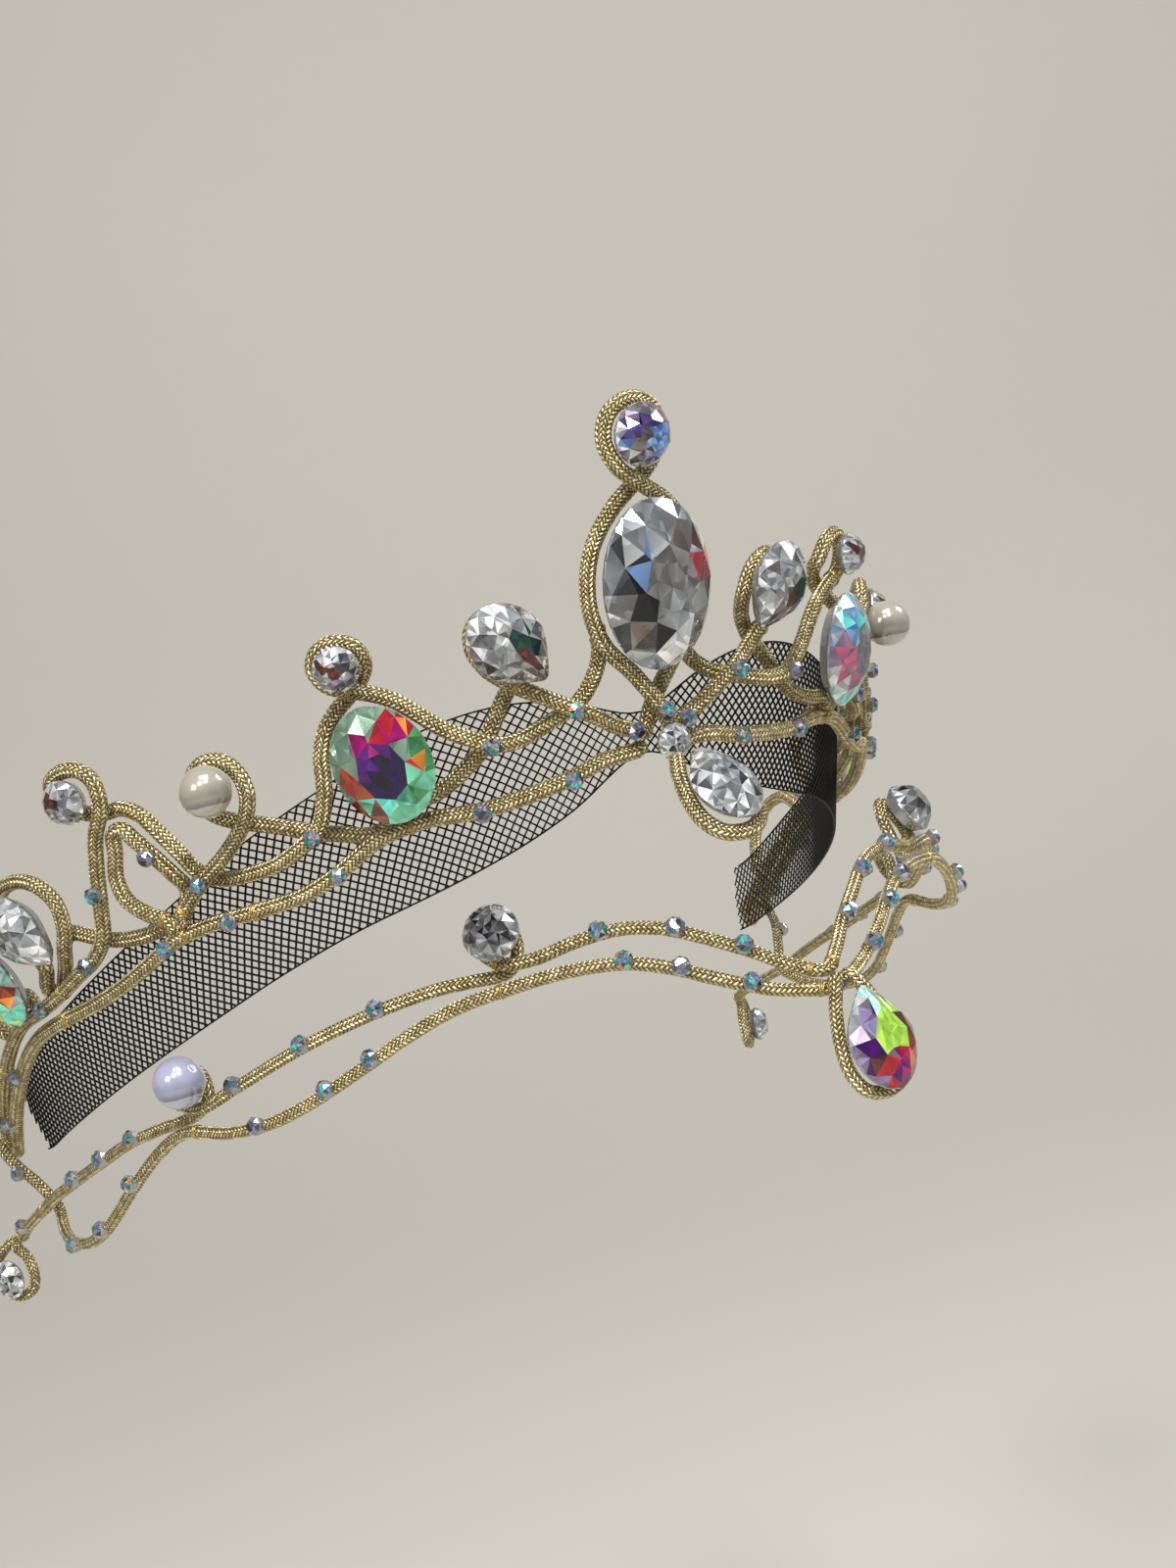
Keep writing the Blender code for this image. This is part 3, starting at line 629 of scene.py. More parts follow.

# Tones of the charts: the stones' own colours, and painted reflections and highlights of what a facet throws
# back
PAINTED_REFLECTION_AND_STONE_TONES = {
    "W": (0.74, 0.76, 0.78),  # white
    "P": (0.42, 0.45, 0.48),  # pale
    "M": (0.27, 0.29, 0.31),  # mist
    "G": (0.19, 0.19, 0.20),  # grey
    "T": (0.15, 0.125, 0.115),  # taupe
    "S": (0.055, 0.06, 0.07),  # slate
    "K": (0.006, 0.006, 0.009),  # ink
    "B": (0.10, 0.028, 0.022),  # brown
    "X": (0.72, 0.05, 0.07),  # signal
    "b": (0.006, 0.045, 0.035),  # bottle
    "L": (0.30, 0.25, 0.50),  # lilac
    "V": (0.09, 0.06, 0.24),  # violet
    "s": (0.20, 0.36, 0.66),  # sky
    "u": (0.10, 0.24, 0.60),  # blue
    "t": (0.03, 0.33, 0.30),  # teal
    "m": (0.20, 0.72, 0.48),  # mint
    "a": (0.14, 0.82, 0.72),  # aqua
    "c": (0.55, 0.98, 0.98),  # cyan
    "g": (0.07, 0.30, 0.11),  # green
    "e": (0.20, 0.33, 0.24),  # sage
    "l": (0.46, 0.88, 0.10),  # lime
    "A": (0.95, 0.30, 0.05),  # amber
    "r": (0.28, 0.06, 0.015),  # rust
    "R": (0.46, 0.015, 0.03),  # red
    "J": (0.34, 0.005, 0.14),  # magenta
    "o": (0.55, 0.12, 0.22),  # rose
    "U": (0.065, 0.004, 0.16),  # purple
    "I": (0.012, 0.002, 0.055),  # indigo
    "v": (0.22, 0.17, 0.25),  # mauve
}

# The own colour and painted reflection of each zone of a stone, counter-clockwise from the stone's foot: the
# rim's two rows, the kites' outer and inner halves, the stars, then the table's edge, its inner edge and its
# middle
STONE_CHARTS = {
    "great_oval": (
        "WPGWXWMPGPGMPSPW", "WWMGXWPGPPSMGSPM", "WWMGXTGBMGWMGSGT", "WPTGTGTPGPSsKKST",
        "WMXTPsKK", "PMGGGGKM", "MGGGGGGG", "MMGGGGGM",
    ),
    "bright_pear": (
        "PMPWPGMPPWPMWMGP", "GPWMWPGPWPMWGWPG", "PBMWPGWPGMWGPTWM", "BvbMbPWGWMPGPMPG",
        "BbMWGMPT", "BbbGPMGP", "BBbbWMPG", "BBbbPMPG",
    ),
    "clear": (
        "WPMWPWGWPWMWPWGW", "PWWGWPWMWWPWGWPW", "WMPWGPWPMWPSWPMW", "PSWPMWPGWWPMSWPW",
        "PMWGWPSW", "MPWGSWPM", "PGMWPSPM", "MPGMPMSP",
    ),
    "smoky": (
        "GPWMGWSPGWMPGWMG", "MWGPSWGMPGWSGWPM", "GMSGWMGPSGMKGPMG", "SGMKGSPMGSGbTGMS",
        "GSMGKGSM", "SGKGMSTG", "KGSTGKGM", "GSKGTGSK",
    ),
    "brown_heart": (
        "WPWMWPWPWMWPWMWP", "PWPWMWPWWPSWPMWW", "MvvPGSSGPMBPPMPv", "vMvPSGSMPMBBPMvP",
        "vMSPMBPv", "vPSSPBPv", "vPSSMBPv", "BBBBBBBB",
    ),
    "red_peak": (
        "WPWWPGWPWWMWPWWP", "PWGWPWWMPWWPWWGW", "PWGMPWMGPWBPMWPM", "MPGPMGWMBBBKGWMP",
        "PGMSBBMP", "MPGKBBGM", "GPMKBBMP", "MGSKBBGM",
    ),
    "violet": (
        "LPWPPWMvvMvWWLWP", "vLPWMLvMGvVMsWTW", "LvsPLMvMGvVvuVTP", "LsssuLvGVGVKGTTT",
        "ssLvVVTL", "ssuVVGTT", "ssuuVTTs", "susuuTTs",
    ),
    "purple_heart": (
        "mmmggReeeeeeeRrm", "mmmggAReeeeeerrm", "mmmggARJeeeeRrBm", "mmggeRJJJeevrRra",
        "mmeRJera", "IIIUUUII", "IIIUJUUI", "KIIKIUIK",
    ),
    "lime_heart": (
        "ccPPLvvRBJJAArvc", "cWPLvULRBJJrAABl", "cPLvUvRBJURABBvl", "clvUUGRBUJRArBll",
        "cLURJrBl", "lllvRlll", "llllJlll", "llllllll",
    ),
    "cool_oval": (
        "caPcaaPaccPsvPcP", "aPcaPaacsPcPvPPa", "aPaavPtaPsasovPo", "avGtttaasPusvovG",
        "vGtaasoo", "vGGPtaov", "vGvPPGvv", "vvGGvvGv",
    ),
    "pale_oval": (
        "amPmLPPLLLsLlmlm", "mPrPLLsLLvsPlPll", "marALPsLLLPslmll", "mArrLrLLsLsLlmlA",
        "mrLLsLll", "ArrLLsll", "ArrrLLll", "rrrrrAlA",
    ),
}
STONE_CHART_PICKS = {
    "centre_oval": "great_oval",
    "centre_round": "violet",
    "centre_chaton": "clear",
    "centre_drop": "clear",
    "front_pear": "bright_pear",
    "colour_oval": "purple_heart",
    "oval_round": "brown_heart",
    "peak_round": "red_peak",
    "tip_pear": "clear",
    "left_colour_oval": "cool_oval",
    "tip_oval": "pale_oval",
    "brow_round": "smoky",
    "brow_drop": "lime_heart",
    "end_drop": "clear",
}
# The chatons' facet tones: stone colours with painted reflections and highlights
CHATON_CHARTS = ("tPsMvtPSaL", "LvPsMLtWvS", "tAmPSteWsM", "sLPMuvWStP")

# Grain of the finishes, in repeats a metre
GLITTER_SCALE = 4200.0
WEAR_SCALE = 260.0
THREAD_SCALE = 2600.0
SCUFF_SCALE = 900.0
CLOUD_SCALE = 230.0
LINT_SCALE = 700.0
STAGE_SCALE = 3.0
# The braid's finish: fibres across a strand, share of grains with no painted glint, colour of the painted
# glints, relief in metres; the last is the relief of the other finishes
YARN_FIBRES = 3
PLAIN_GRAINS = 0.72
PAINTED_GLINT_GOLD = (1.0, 0.93, 0.72)
BRAID_BUMP = 0.00022
FINE_BUMP = 0.00005
# The facets' looks, with shards of painted reflection: material, metallic share, width of a shard in
# millimetres, darkest and lightest shard
FACET_LOOKS = {
    "clear": ("clear_facets", 0.6, 1.7, 0.5, 1.6),
    "great": ("great_facets", 0.62, 3.6, 0.6, 1.5),
    "colour": ("coated_facets", 0.5, 3.0, 0.7, 1.3),
    "chaton": ("chaton_facets", 0.5, 0.4, 0.35, 1.0),
}
SHARD_SHIFT = 0.19
SHARD_POWER = 1.6
# A pearl's painted reflection, bands of brightness from its foot to its top: level, brightness
PEARL_PAINTED_REFLECTION_BANDS = ((0.0, 0.55), (0.22, 1.25), (0.30, 1.15), (0.335, 0.24), (0.47, 0.62), (0.8, 0.85))
PEARL_CLOUDS = (0.66, 1.15)
PEARL_DEPTH = (0.0016, 0.0013, 0.0011)

# The stage, in metres: the sweep's profile as back and up, its half width, its level and its turn in degrees
SWEEP_PROFILE = (
    (-1.6, 0.0),
    (0.55, 0.0),
    (0.75, 0.015),
    (0.92, 0.07),
    (1.02, 0.18),
    (1.06, 0.34),
    (1.07, 2.2),
)
SWEEP_HALF_WIDTH = 2.2
SWEEP_LEVEL = -0.30
SWEEP_TURN = -29.6
ROOM_LIGHT = (0.93, 0.95, 1.0, 1.0)
ROOM_STRENGTH = 0.38
LIGHTS = (
    # name, place, aim, size, power, colour
    ("ceiling_panel", (-0.10, -0.35, 0.95), (0.0, 0.0, 0.0), (0.55, 0.35), 3.0, (1.0, 0.97, 0.92)),
    ("side_panel", (-0.95, -0.35, 0.55), (0.0, 0.0, 0.0), (0.4, 0.4), 2.6, (1.0, 0.96, 0.90)),
    ("far_panel", (0.85, -0.25, 0.65), (0.0, 0.0, 0.0), (0.35, 0.35), 3.5, (0.95, 0.97, 1.0)),
    ("left_spot", (-0.52, -0.58, 0.70), (0.0, 0.0, -0.02), (0.15, 0.15), 6.5, (1.0, 0.95, 0.88)),
    ("right_spot", (-0.13, -0.66, 0.74), (0.0, 0.0, -0.02), (0.15, 0.15), 6.5, (1.0, 0.97, 0.92)),
)

# The camera: lens and sensor in millimetres, its place, the way it looks and its right-hand side
CAMERA_LENS = 54.0
CAMERA_SENSOR = 36.0
CAMERA_CLIP = 0.01
CAMERA_PLACE = (-0.1834, -0.3792, 0.0352)
CAMERA_FORWARD = (0.491, 0.863, -0.114)
CAMERA_RIGHT = (0.841, -0.504, -0.195)


def crown_point(around, up, out):
    """A point of the crown: on the leaning surface above the foot ellipse, in millimetres."""
    angle = math.radians(around)
    back = CROWN_FRONT + CROWN_HALF_DEPTH * (1 - math.cos(angle))
    foot = np.array([CROWN_HALF_WIDTH * math.sin(angle), back, up])
    normal = np.array([CROWN_HALF_DEPTH * math.sin(angle), -CROWN_HALF_WIDTH * math.cos(angle), 0.0])
    normal /= np.linalg.norm(normal)
    above_foot = up + FOOT_DROP * (abs(around) / FOOT_DROP_AT) ** FOOT_DROP_POWER
    return foot + normal * (CROWN_LEAN * above_foot + out)


def brow_point(around, up, out):
    """A point of the garland: on the egg over the forehead, in millimetres."""
    angle = math.radians(around)
    ring = math.sqrt(1 - ((up - BROW_MIDDLE) / BROW_HALF_HEIGHT) ** 2)
    spot = np.array([BROW_HALF_WIDTH * ring * math.sin(angle), -BROW_HALF_DEPTH * ring * math.cos(angle), up])
    normal = spot / np.array([BROW_HALF_WIDTH, BROW_HALF_DEPTH, 1.0]) ** 2
    normal[2] = (up - BROW_MIDDLE) / BROW_HALF_HEIGHT**2
    return spot + out * normal / np.linalg.norm(normal)


def surface_frame(surface, around, up):
    """The spot, and the across, along and outward directions of a surface there."""
    spot = surface(around, up, 0.0)
    across = surface(around + 0.5, up, 0.0) - surface(around - 0.5, up, 0.0)
    along = surface(around, up + 0.5, 0.0) - surface(around, up - 0.5, 0.0)
    outward = np.cross(across, along)
    outward /= np.linalg.norm(outward)
    along /= np.linalg.norm(along)
    return spot, np.cross(along, outward), along, outward


def smooth_path(points, step=0.5):
    """A centripetal Catmull-Rom curve through the points, sampled about every step."""
    points = [np.asarray(point, float) for point in points]
    points = [2 * points[0] - points[1]] + points + [2 * points[-1] - points[-2]]
    path = []
    for a, b, c, d in zip(points, points[1:], points[2:], points[3:]):
        t1 = max(np.linalg.norm(b - a), 1e-6) ** 0.5
        t2 = t1 + max(np.linalg.norm(c - b), 1e-6) ** 0.5
        t3 = t2 + max(np.linalg.norm(d - c), 1e-6) ** 0.5
        count = max(2, int(np.linalg.norm(c - b) / step))
        for t in np.linspace(t1, t2, count, endpoint=False):
            ab = a + (b - a) * t / t1
            bc = b + (c - b) * (t - t1) / (t2 - t1)
            cd = c + (d - c) * (t - t2) / (t3 - t2)
            abc = ab + (bc - ab) * t / t2
            bcd = bc + (cd - bc) * (t - t1) / (t3 - t1)
            path.append(abc + (bcd - abc) * (t - t1) / (t2 - t1))
    path.append(points[-2])
    return np.array(path)


def outline(shape, width, length, count):
    """The girdle of a stone in its own plane, in millimetres, starting at its foot."""
    points = []
    for i in range(count):
        turn = 2 * math.pi * i / count
        x, y = math.sin(turn), -math.cos(turn)
        if shape == "pear":
            narrow = 1.0 - PEAR_NARROWING * max(0.0, -y) ** PEAR_POWER
            x *= narrow
        points.append((x * width / 2, y * length / 2))
    return points


def seat_height(frame_at, size, turn, paths):
    """How far out a stone's back stands so that its setting just clears the cords behind it."""
    spot, across, along, outward = frame_at
    width, length, height = size
    angle = math.radians(turn)
    side = across * math.cos(angle) + along * math.sin(angle)
    end = along * math.cos(angle) - across * math.sin(angle)
    back = 0.0
    for path, radius in paths:
        offset = path - spot
        level = offset @ outward
        reach = np.hypot(offset @ side / (width / 2), offset @ end / (length / 2))
        near = (reach < SEAT_REACH) & (np.abs(level) < SEAT_DEPTH)
        for part in CORD_SLICES:
            edge = reach[near] - part * radius / (min(width, length) / 2)
            slope = np.clip((edge - FOOT_SCALE) / (1.0 - FOOT_SCALE), 0.0, 1.0)
            under = slope * GIRDLE_LEVEL * height
            top = level[near] + radius * math.sqrt(1 - part**2)
            lift = np.where(edge < 1.0, top - under, 0.0)
            if len(lift):
                back = max(back, float(lift.max()))
    return back + SEAT_GAP


def drop_frame(drop, side):
    """The middle of a hanging drop, and its across, along and outward directions."""
    slope = math.radians(drop["slope"])
    turn = math.radians(drop["turn"]) * side
    across = np.array([math.cos(turn), math.sin(turn), 0.0])
    backward = np.array([-math.sin(turn), math.cos(turn), 0.0])
    along = backward * math.cos(slope) + np.array([0.0, 0.0, math.sin(slope)])
    return np.array(drop["middle"]) * np.array([side, 1.0, 1.0]), across, along, np.cross(across, along)


class TiaraSizes(PropertyGroup):
    """Sizes of the tiara's cord, thread and net."""

    crown_cord: FloatProperty(
        name="Crown Cord",
        description="Thickness of the crown's braid",
        default=CROWN_CORD * MM,
        unit="LENGTH",
    )
    brow_cord: FloatProperty(
        name="Garland Cord",
        description="Thickness of the garland's braid",
        default=BROW_CORD * MM,
        unit="LENGTH",
    )
    ring_step: FloatProperty(
        name="Braid Step",
        description="Spacing of a cord's rings of points",
        default=0.24 * MM,
        unit="LENGTH",
    )
    braid_depth: FloatProperty(
        name="Braid Depth",
        description="Height of the braid's strands",
        default=0.17 * MM,
        unit="LENGTH",
    )
    tie_thread: FloatProperty(
        name="Tie Thread",
        description="Thickness of the gold thread that ties the cords",
        default=0.2 * MM,
        unit="LENGTH",
    )
    chaton: FloatProperty(
        name="Chaton",
        description="Width of the small stones on the cords",
        default=CHATON * MM,
        unit="LENGTH",
    )
    net_cell: FloatProperty(
        name="Net Cell",
        description="Spacing of the net's threads along the band",
        default=1.7 * MM,
        unit="LENGTH",
    )
    net_thread: FloatProperty(
        name="Net Thread",
        description="Thickness of the net's threads",
        default=0.34 * MM,
        unit="LENGTH",
    )


class TiaraColours(PropertyGroup):
    """Colours of the tiara's cord, thread, pearls and net."""

    # Painted light on the crowns of the braid's strands
    gold_painted_lit: FloatVectorProperty(
        name="Braid Light",
        description="Bright strands of the braid",
        default=GOLD_PAINTED_LIT,
        subtype="COLOR",
    )
    # Painted shade in the creases between the braid's strands
    gold_painted_shade: FloatVectorProperty(
        name="Braid Deep",
        description="Shade between the strands",
        default=GOLD_PAINTED_SHADE,
        subtype="COLOR",
    )
    thread: FloatVectorProperty(
        name="Tie Thread",
        description="Gold thread of the ties",
        default=THREAD_GOLD,
        subtype="COLOR",
    )
    foil: FloatVectorProperty(
        name="Foil",
        description="Silver backing of the stones",
        default=FOIL_SILVER,
        subtype="COLOR",
    )
    pearl: FloatVectorProperty(
        name="Pearl",
        description="Body colour of the pearls",
        default=PEARL_CREAM,
        subtype="COLOR",
    )
    net: FloatVectorProperty(
        name="Net",
        description="Colour of the net",
        default=NET_BLACK,
        subtype="COLOR",
    )


class Nodes:
    """Short calls for building a material's node tree."""

    def __init__(self, name):
        self.material = bpy.data.materials.new(name)
        self.material.use_nodes = True
        self.tree = self.material.node_tree
        self.shader = self.tree.nodes["Principled BSDF"]

    def add(self, kind, **settings):
        node = self.tree.nodes.new(kind)
        for key, value in settings.items():
            setattr(node, key, value)
        return node

    def link(self, source, target):
        self.tree.links.new(source, target)

    def math(self, operation, first, second=0.0, third=None):
        node = self.add("ShaderNodeMath", operation=operation)
        for slot, value in zip(node.inputs, (first, second, third)):
            if isinstance(value, (int, float)):
                slot.default_value = value
            elif value is not None:
                self.link(value, slot)
        return node.outputs[0]

    def choose(self, switch, when_off, when_on):
        node = self.add("ShaderNodeMix", data_type="FLOAT")
        self.link(switch, node.inputs[0])
        self.link(when_off, node.inputs[2])
        self.link(when_on, node.inputs[3])
        return node.outputs[0]

    def mix(self, factor, first, second):
        node = self.add("ShaderNodeMix", data_type="RGBA")
        for slot, value in zip((node.inputs[0], node.inputs[6], node.inputs[7]), (factor, first, second)):
            if isinstance(value, tuple):
                slot.default_value = (*value[:3], 1.0)
            elif isinstance(value, float):
                slot.default_value = value
            else:
                self.link(value, slot)
        return node.outputs[2]

    def set(self, **values):
        names = {
            "base": "Base Color",
            "metallic": "Metallic",
            "roughness": "Roughness",
            "coat": "Coat Weight",
            "coat_roughness": "Coat Roughness",
            "sheen": "Sheen Weight",
            "specular": "Specular IOR Level",
            "ior": "IOR",
            "normal": "Normal",
        }
        for key, value in values.items():
            slot = self.shader.inputs[names[key]]
            if isinstance(value, tuple):
                slot.default_value = (*value[:3], 1.0)
            elif isinstance(value, (int, float)):
                slot.default_value = value
            else:
                self.link(value, slot)

    def bump(self, height, strength, distance):
        node = self.add("ShaderNodeBump")
        node.inputs["Strength"].default_value = strength
        node.inputs["Distance"].default_value = distance
        self.link(height, node.inputs["Height"])
        return node.outputs[0]


def braid_material(name, strands, pitch, colours):
    """Metallic yarn in a two-over-two braid: painted light on the strands' crowns and painted shade in the
    creases between them, fibres, painted glints on a few grains, and glitter.
    """
    n = Nodes(name)
    place = n.add("ShaderNodeSeparateXYZ")
    n.link(n.add("ShaderNodeUVMap", uv_map="cord").outputs[0], place.inputs[0])
    around = n.math("MULTIPLY", place.outputs[0], float(strands))
    along = n.math("DIVIDE", place.outputs[1], pitch)
    first, second = n.math("ADD", around, along), n.math("SUBTRACT", around, along)
    first_cell, second_cell = n.math("FLOOR", first), n.math("FLOOR", second)
    cells = n.math("ADD", first_cell, second_cell)
    first_on_top = n.math("LESS_THAN", n.math("FLOORED_MODULO", cells, 4.0), 1.5)
    across = n.choose(first_on_top, n.math("FRACT", second), n.math("FRACT", first))
    down = n.choose(
        first_on_top,
        n.math("SUBTRACT", n.math("FLOORED_MODULO", n.math("ADD", first, second_cell), 4.0), 2.0),
        n.math("FLOORED_MODULO", n.math("ADD", second, first_cell), 4.0),
    )
    stitch = n.math("MINIMUM", n.math("MAXIMUM", down, 0.0), 2.0)
    swell = n.math("SINE", n.math("MULTIPLY", stitch, math.pi / 2))
    rise = n.math("SINE", n.math("MULTIPLY", across, math.pi))
    crown = n.math("MULTIPLY", rise, n.math("POWER", swell, 0.5))
    fibres = n.math("ABSOLUTE", n.math("SINE", n.math("MULTIPLY", across, YARN_FIBRES * math.pi)))
    cell = n.add("ShaderNodeCombineXYZ")
    n.link(n.choose(first_on_top, second_cell, first_cell), cell.inputs[0])
    n.link(n.math("FLOOR", n.math("DIVIDE", cells, 4.0)), cell.inputs[1])
    n.link(first_on_top, cell.inputs[2])
    speck = n.add("ShaderNodeTexWhiteNoise", noise_dimensions="3D")
    n.link(cell.outputs[0], speck.inputs["Vector"])
    where = n.add("ShaderNodeTexCoord")
    glitter = n.add("ShaderNodeTexVoronoi", feature="F1")
    glitter.inputs["Scale"].default_value = GLITTER_SCALE
    n.link(where.outputs["Object"], glitter.inputs["Vector"])
    flake = n.add("ShaderNodeSeparateColor")
    n.link(glitter.outputs["Color"], flake.inputs[0])
    wear = n.add("ShaderNodeTexNoise")
    wear.inputs["Scale"].default_value = WEAR_SCALE
    wear.inputs["Detail"].default_value = 3.0
    n.link(where.outputs["Object"], wear.inputs["Vector"])
    tone = n.math("MULTIPLY_ADD", speck.outputs["Value"], 0.6, 0.3)
    tone = n.math("MULTIPLY_ADD", fibres, 0.12, tone)
    tone = n.math("MULTIPLY_ADD", wear.outputs[0], 0.3, tone)
    # Painted light and shade: each strand is lit on its crown and darkened toward its creases, times its
    # random tone
    lit = n.math("MINIMUM", n.math("MULTIPLY", n.math("POWER", crown, 0.8), tone), 1.0)
    yarn = n.mix(lit, tuple(colours.gold_painted_shade), tuple(colours.gold_painted_lit))
    # Painted glints: the crowns of a few random grains are painted pale gold
    glint_grains = n.math("GREATER_THAN", speck.outputs["Value"], PLAIN_GRAINS)
    painted_glint = n.math("MULTIPLY", glint_grains, n.math("POWER", crown, 3.0))
    n.set(base=n.mix(n.math("MULTIPLY", painted_glint, 0.75), yarn, PAINTED_GLINT_GOLD), metallic=0.95)
    n.set(roughness=n.math("MULTIPLY_ADD", flake.outputs[1], 0.18, 0.27), sheen=0.0, specular=0.6)
    height = n.math("MULTIPLY_ADD", fibres, 0.12, crown)
    height = n.math("MULTIPLY_ADD", flake.outputs[2], 0.14, height)
    n.set(normal=n.bump(height, 1.0, BRAID_BUMP))
    return n.material


def thread_material(colours):
    """Plain gold thread, darker between its plies."""
    n = Nodes("tie_thread")
    where = n.add("ShaderNodeTexCoord")
    fine = n.add("ShaderNodeTexNoise")
    fine.inputs["Scale"].default_value = THREAD_SCALE
    n.link(where.outputs["Object"], fine.inputs["Vector"])
    deep = tuple(THREAD_SHADE * value for value in colours.thread)
    n.set(base=n.mix(fine.outputs[0], deep, THREAD_LIGHT), metallic=0.85, roughness=0.35)
    n.set(normal=n.bump(fine.outputs[0], 0.5, FINE_BUMP))
    return n.material


def facet_material(look):
    """Foil-backed glass: each facet shows its own colour and a painted reflection, broken into lighter and
    darker shards of painted reflection, under a gloss.
    """
    name, metallic, shard, dark, light = FACET_LOOKS[look]
    n = Nodes(name)
    facet = n.add("ShaderNodeVertexColor", layer_name="facet")
    where = n.add("ShaderNodeTexCoord")
    shift = n.add("ShaderNodeCombineXYZ")
    n.link(n.math("MULTIPLY", facet.outputs["Alpha"], SHARD_SHIFT), shift.inputs[0])
    spot = n.add("ShaderNodeVectorMath", operation="ADD")
    n.link(where.outputs["Object"], spot.inputs[0])
    n.link(shift.outputs[0], spot.inputs[1])
    shards = n.add("ShaderNodeTexVoronoi", feature="F1", distance="EUCLIDEAN")
    shards.inputs["Scale"].default_value = 1.0 / (shard * MM)
    shards.inputs["Randomness"].default_value = 1.0
    n.link(spot.outputs[0], shards.inputs["Vector"])
    level = n.add("ShaderNodeSeparateColor")
    n.link(shards.outputs["Color"], level.inputs[0])
    # Painted reflection: each facet's tone is broken into lighter and darker shards
    strength = n.math("POWER", level.outputs[0], SHARD_POWER)
    shade = n.math("MULTIPLY_ADD", strength, light - dark, dark)
    tint = n.add("ShaderNodeVectorMath", operation="SCALE")
    n.link(facet.outputs[0], tint.inputs[0])
    n.link(shade, tint.inputs["Scale"])
    n.set(base=tint.outputs[0], metallic=metallic, roughness=0.06, ior=1.5)
    n.set(coat=0.4, coat_roughness=0.02)
    return n.material


def foil_material(colours):
    """The scuffed silver foil on the backs of the stones."""
    n = Nodes("foil_back")
    where = n.add("ShaderNodeTexCoord")
    scuff = n.add("ShaderNodeTexNoise")
    scuff.inputs["Scale"].default_value = SCUFF_SCALE
    scuff.inputs["Detail"].default_value = 4.0
    n.link(where.outputs["Object"], scuff.inputs["Vector"])
    n.set(base=n.mix(scuff.outputs[0], tuple(colours.foil), FOIL_SCUFF), metallic=0.8, roughness=0.25)
    n.set(normal=n.bump(scuff.outputs[0], 0.25, FINE_BUMP))
    return n.material


def pearl_material(name, colour, sheen):
    """Nacre: cloudy inside, with a painted reflection by height, a dark band over a pale lower part, under a
    sheen and a hard gloss.
    """
    n = Nodes(name)
    where = n.add("ShaderNodeTexCoord")
    clouds = n.add("ShaderNodeTexNoise")
    clouds.inputs["Scale"].default_value = CLOUD_SCALE
    clouds.inputs["Detail"].default_value = 2.0
    n.link(where.outputs["Object"], clouds.inputs["Vector"])
    height = n.add("ShaderNodeUVMap", uv_map="height")
    level = n.add("ShaderNodeSeparateXYZ")
    n.link(height.outputs[0], level.inputs[0])
    # Painted reflection by height: a dark band over a bright lower band, dimmer at the foot and top
    wavy = n.math("MULTIPLY_ADD", clouds.outputs[0], 0.12, level.outputs[1])
    band = n.add("ShaderNodeValToRGB")
    band.color_ramp.interpolation = "EASE"
    stops = band.color_ramp.elements
    for stop, (place, _) in zip(stops, PEARL_PAINTED_REFLECTION_BANDS):
        stop.position = place
    for place, _ in PEARL_PAINTED_REFLECTION_BANDS[2:]:
        stops.new(place)
    for stop, (_, value) in zip(stops, PEARL_PAINTED_REFLECTION_BANDS):
        stop.color = (value, value, value, 1.0)
    n.link(wavy, band.inputs[0])
    dull, clear = (tuple(share * value for value in colour) for share in PEARL_CLOUDS)
    cloudy = n.mix(clouds.outputs[0], dull, clear)
    body = n.add("ShaderNodeVectorMath", operation="MULTIPLY")
    n.link(cloudy, body.inputs[0])
    n.link(band.outputs[0], body.inputs[1])
    n.set(base=body.outputs[0], metallic=0.0, roughness=0.22)
    n.set(coat=1.0, coat_roughness=0.1, specular=0.7, sheen=0.5)
    n.shader.inputs["Sheen Tint"].default_value = (*sheen, 1.0)
    n.shader.inputs["Sheen Roughness"].default_value = 0.4
    n.shader.inputs["Coat IOR"].default_value = 1.9
    n.shader.inputs["Subsurface Weight"].default_value = 0.03
    n.shader.inputs["Subsurface Radius"].default_value = PEARL_DEPTH
    return n.material


def net_material(colours):
    """Black crin with a little lint on it."""
    n = Nodes("crin_net")
    where = n.add("ShaderNodeTexCoord")
    lint = n.add("ShaderNodeTexNoise")
    lint.inputs["Scale"].default_value = LINT_SCALE
    n.link(where.outputs["Object"], lint.inputs["Vector"])
    n.set(base=n.mix(lint.outputs[0], tuple(colours.net), NET_LINT))
    n.set(roughness=0.6, specular=0.2, sheen=0.02)
    return n.material


def wall_material():
    """The stage's pale matt paint."""
    n = Nodes("pale_stage")
    where = n.add("ShaderNodeTexCoord")
    soft = n.add("ShaderNodeTexNoise")
    soft.inputs["Scale"].default_value = STAGE_SCALE
    n.link(where.outputs["Object"], soft.inputs["Vector"])
    n.set(base=n.mix(soft.outputs[0], STAGE_SHADE, STAGE_LIGHT), roughness=0.9, specular=0.1)
    return n.material


def new_mesh_object(name, points, faces, materials, smooth=True, indices=None):
    """A mesh object from points in millimetres."""
    mesh = bpy.data.meshes.new(name)
    mesh.from_pydata((np.asarray(points) * MM).tolist(), [], faces)
    for material in materials:
        mesh.materials.append(material)
    if indices is not None:
        mesh.polygons.foreach_set("material_index", indices)
    mesh.polygons.foreach_set("use_smooth", [smooth] * len(mesh.polygons))
    mesh.update()
    made = bpy.data.objects.new(name, mesh)
    bpy.context.scene.collection.objects.link(made)
    return made


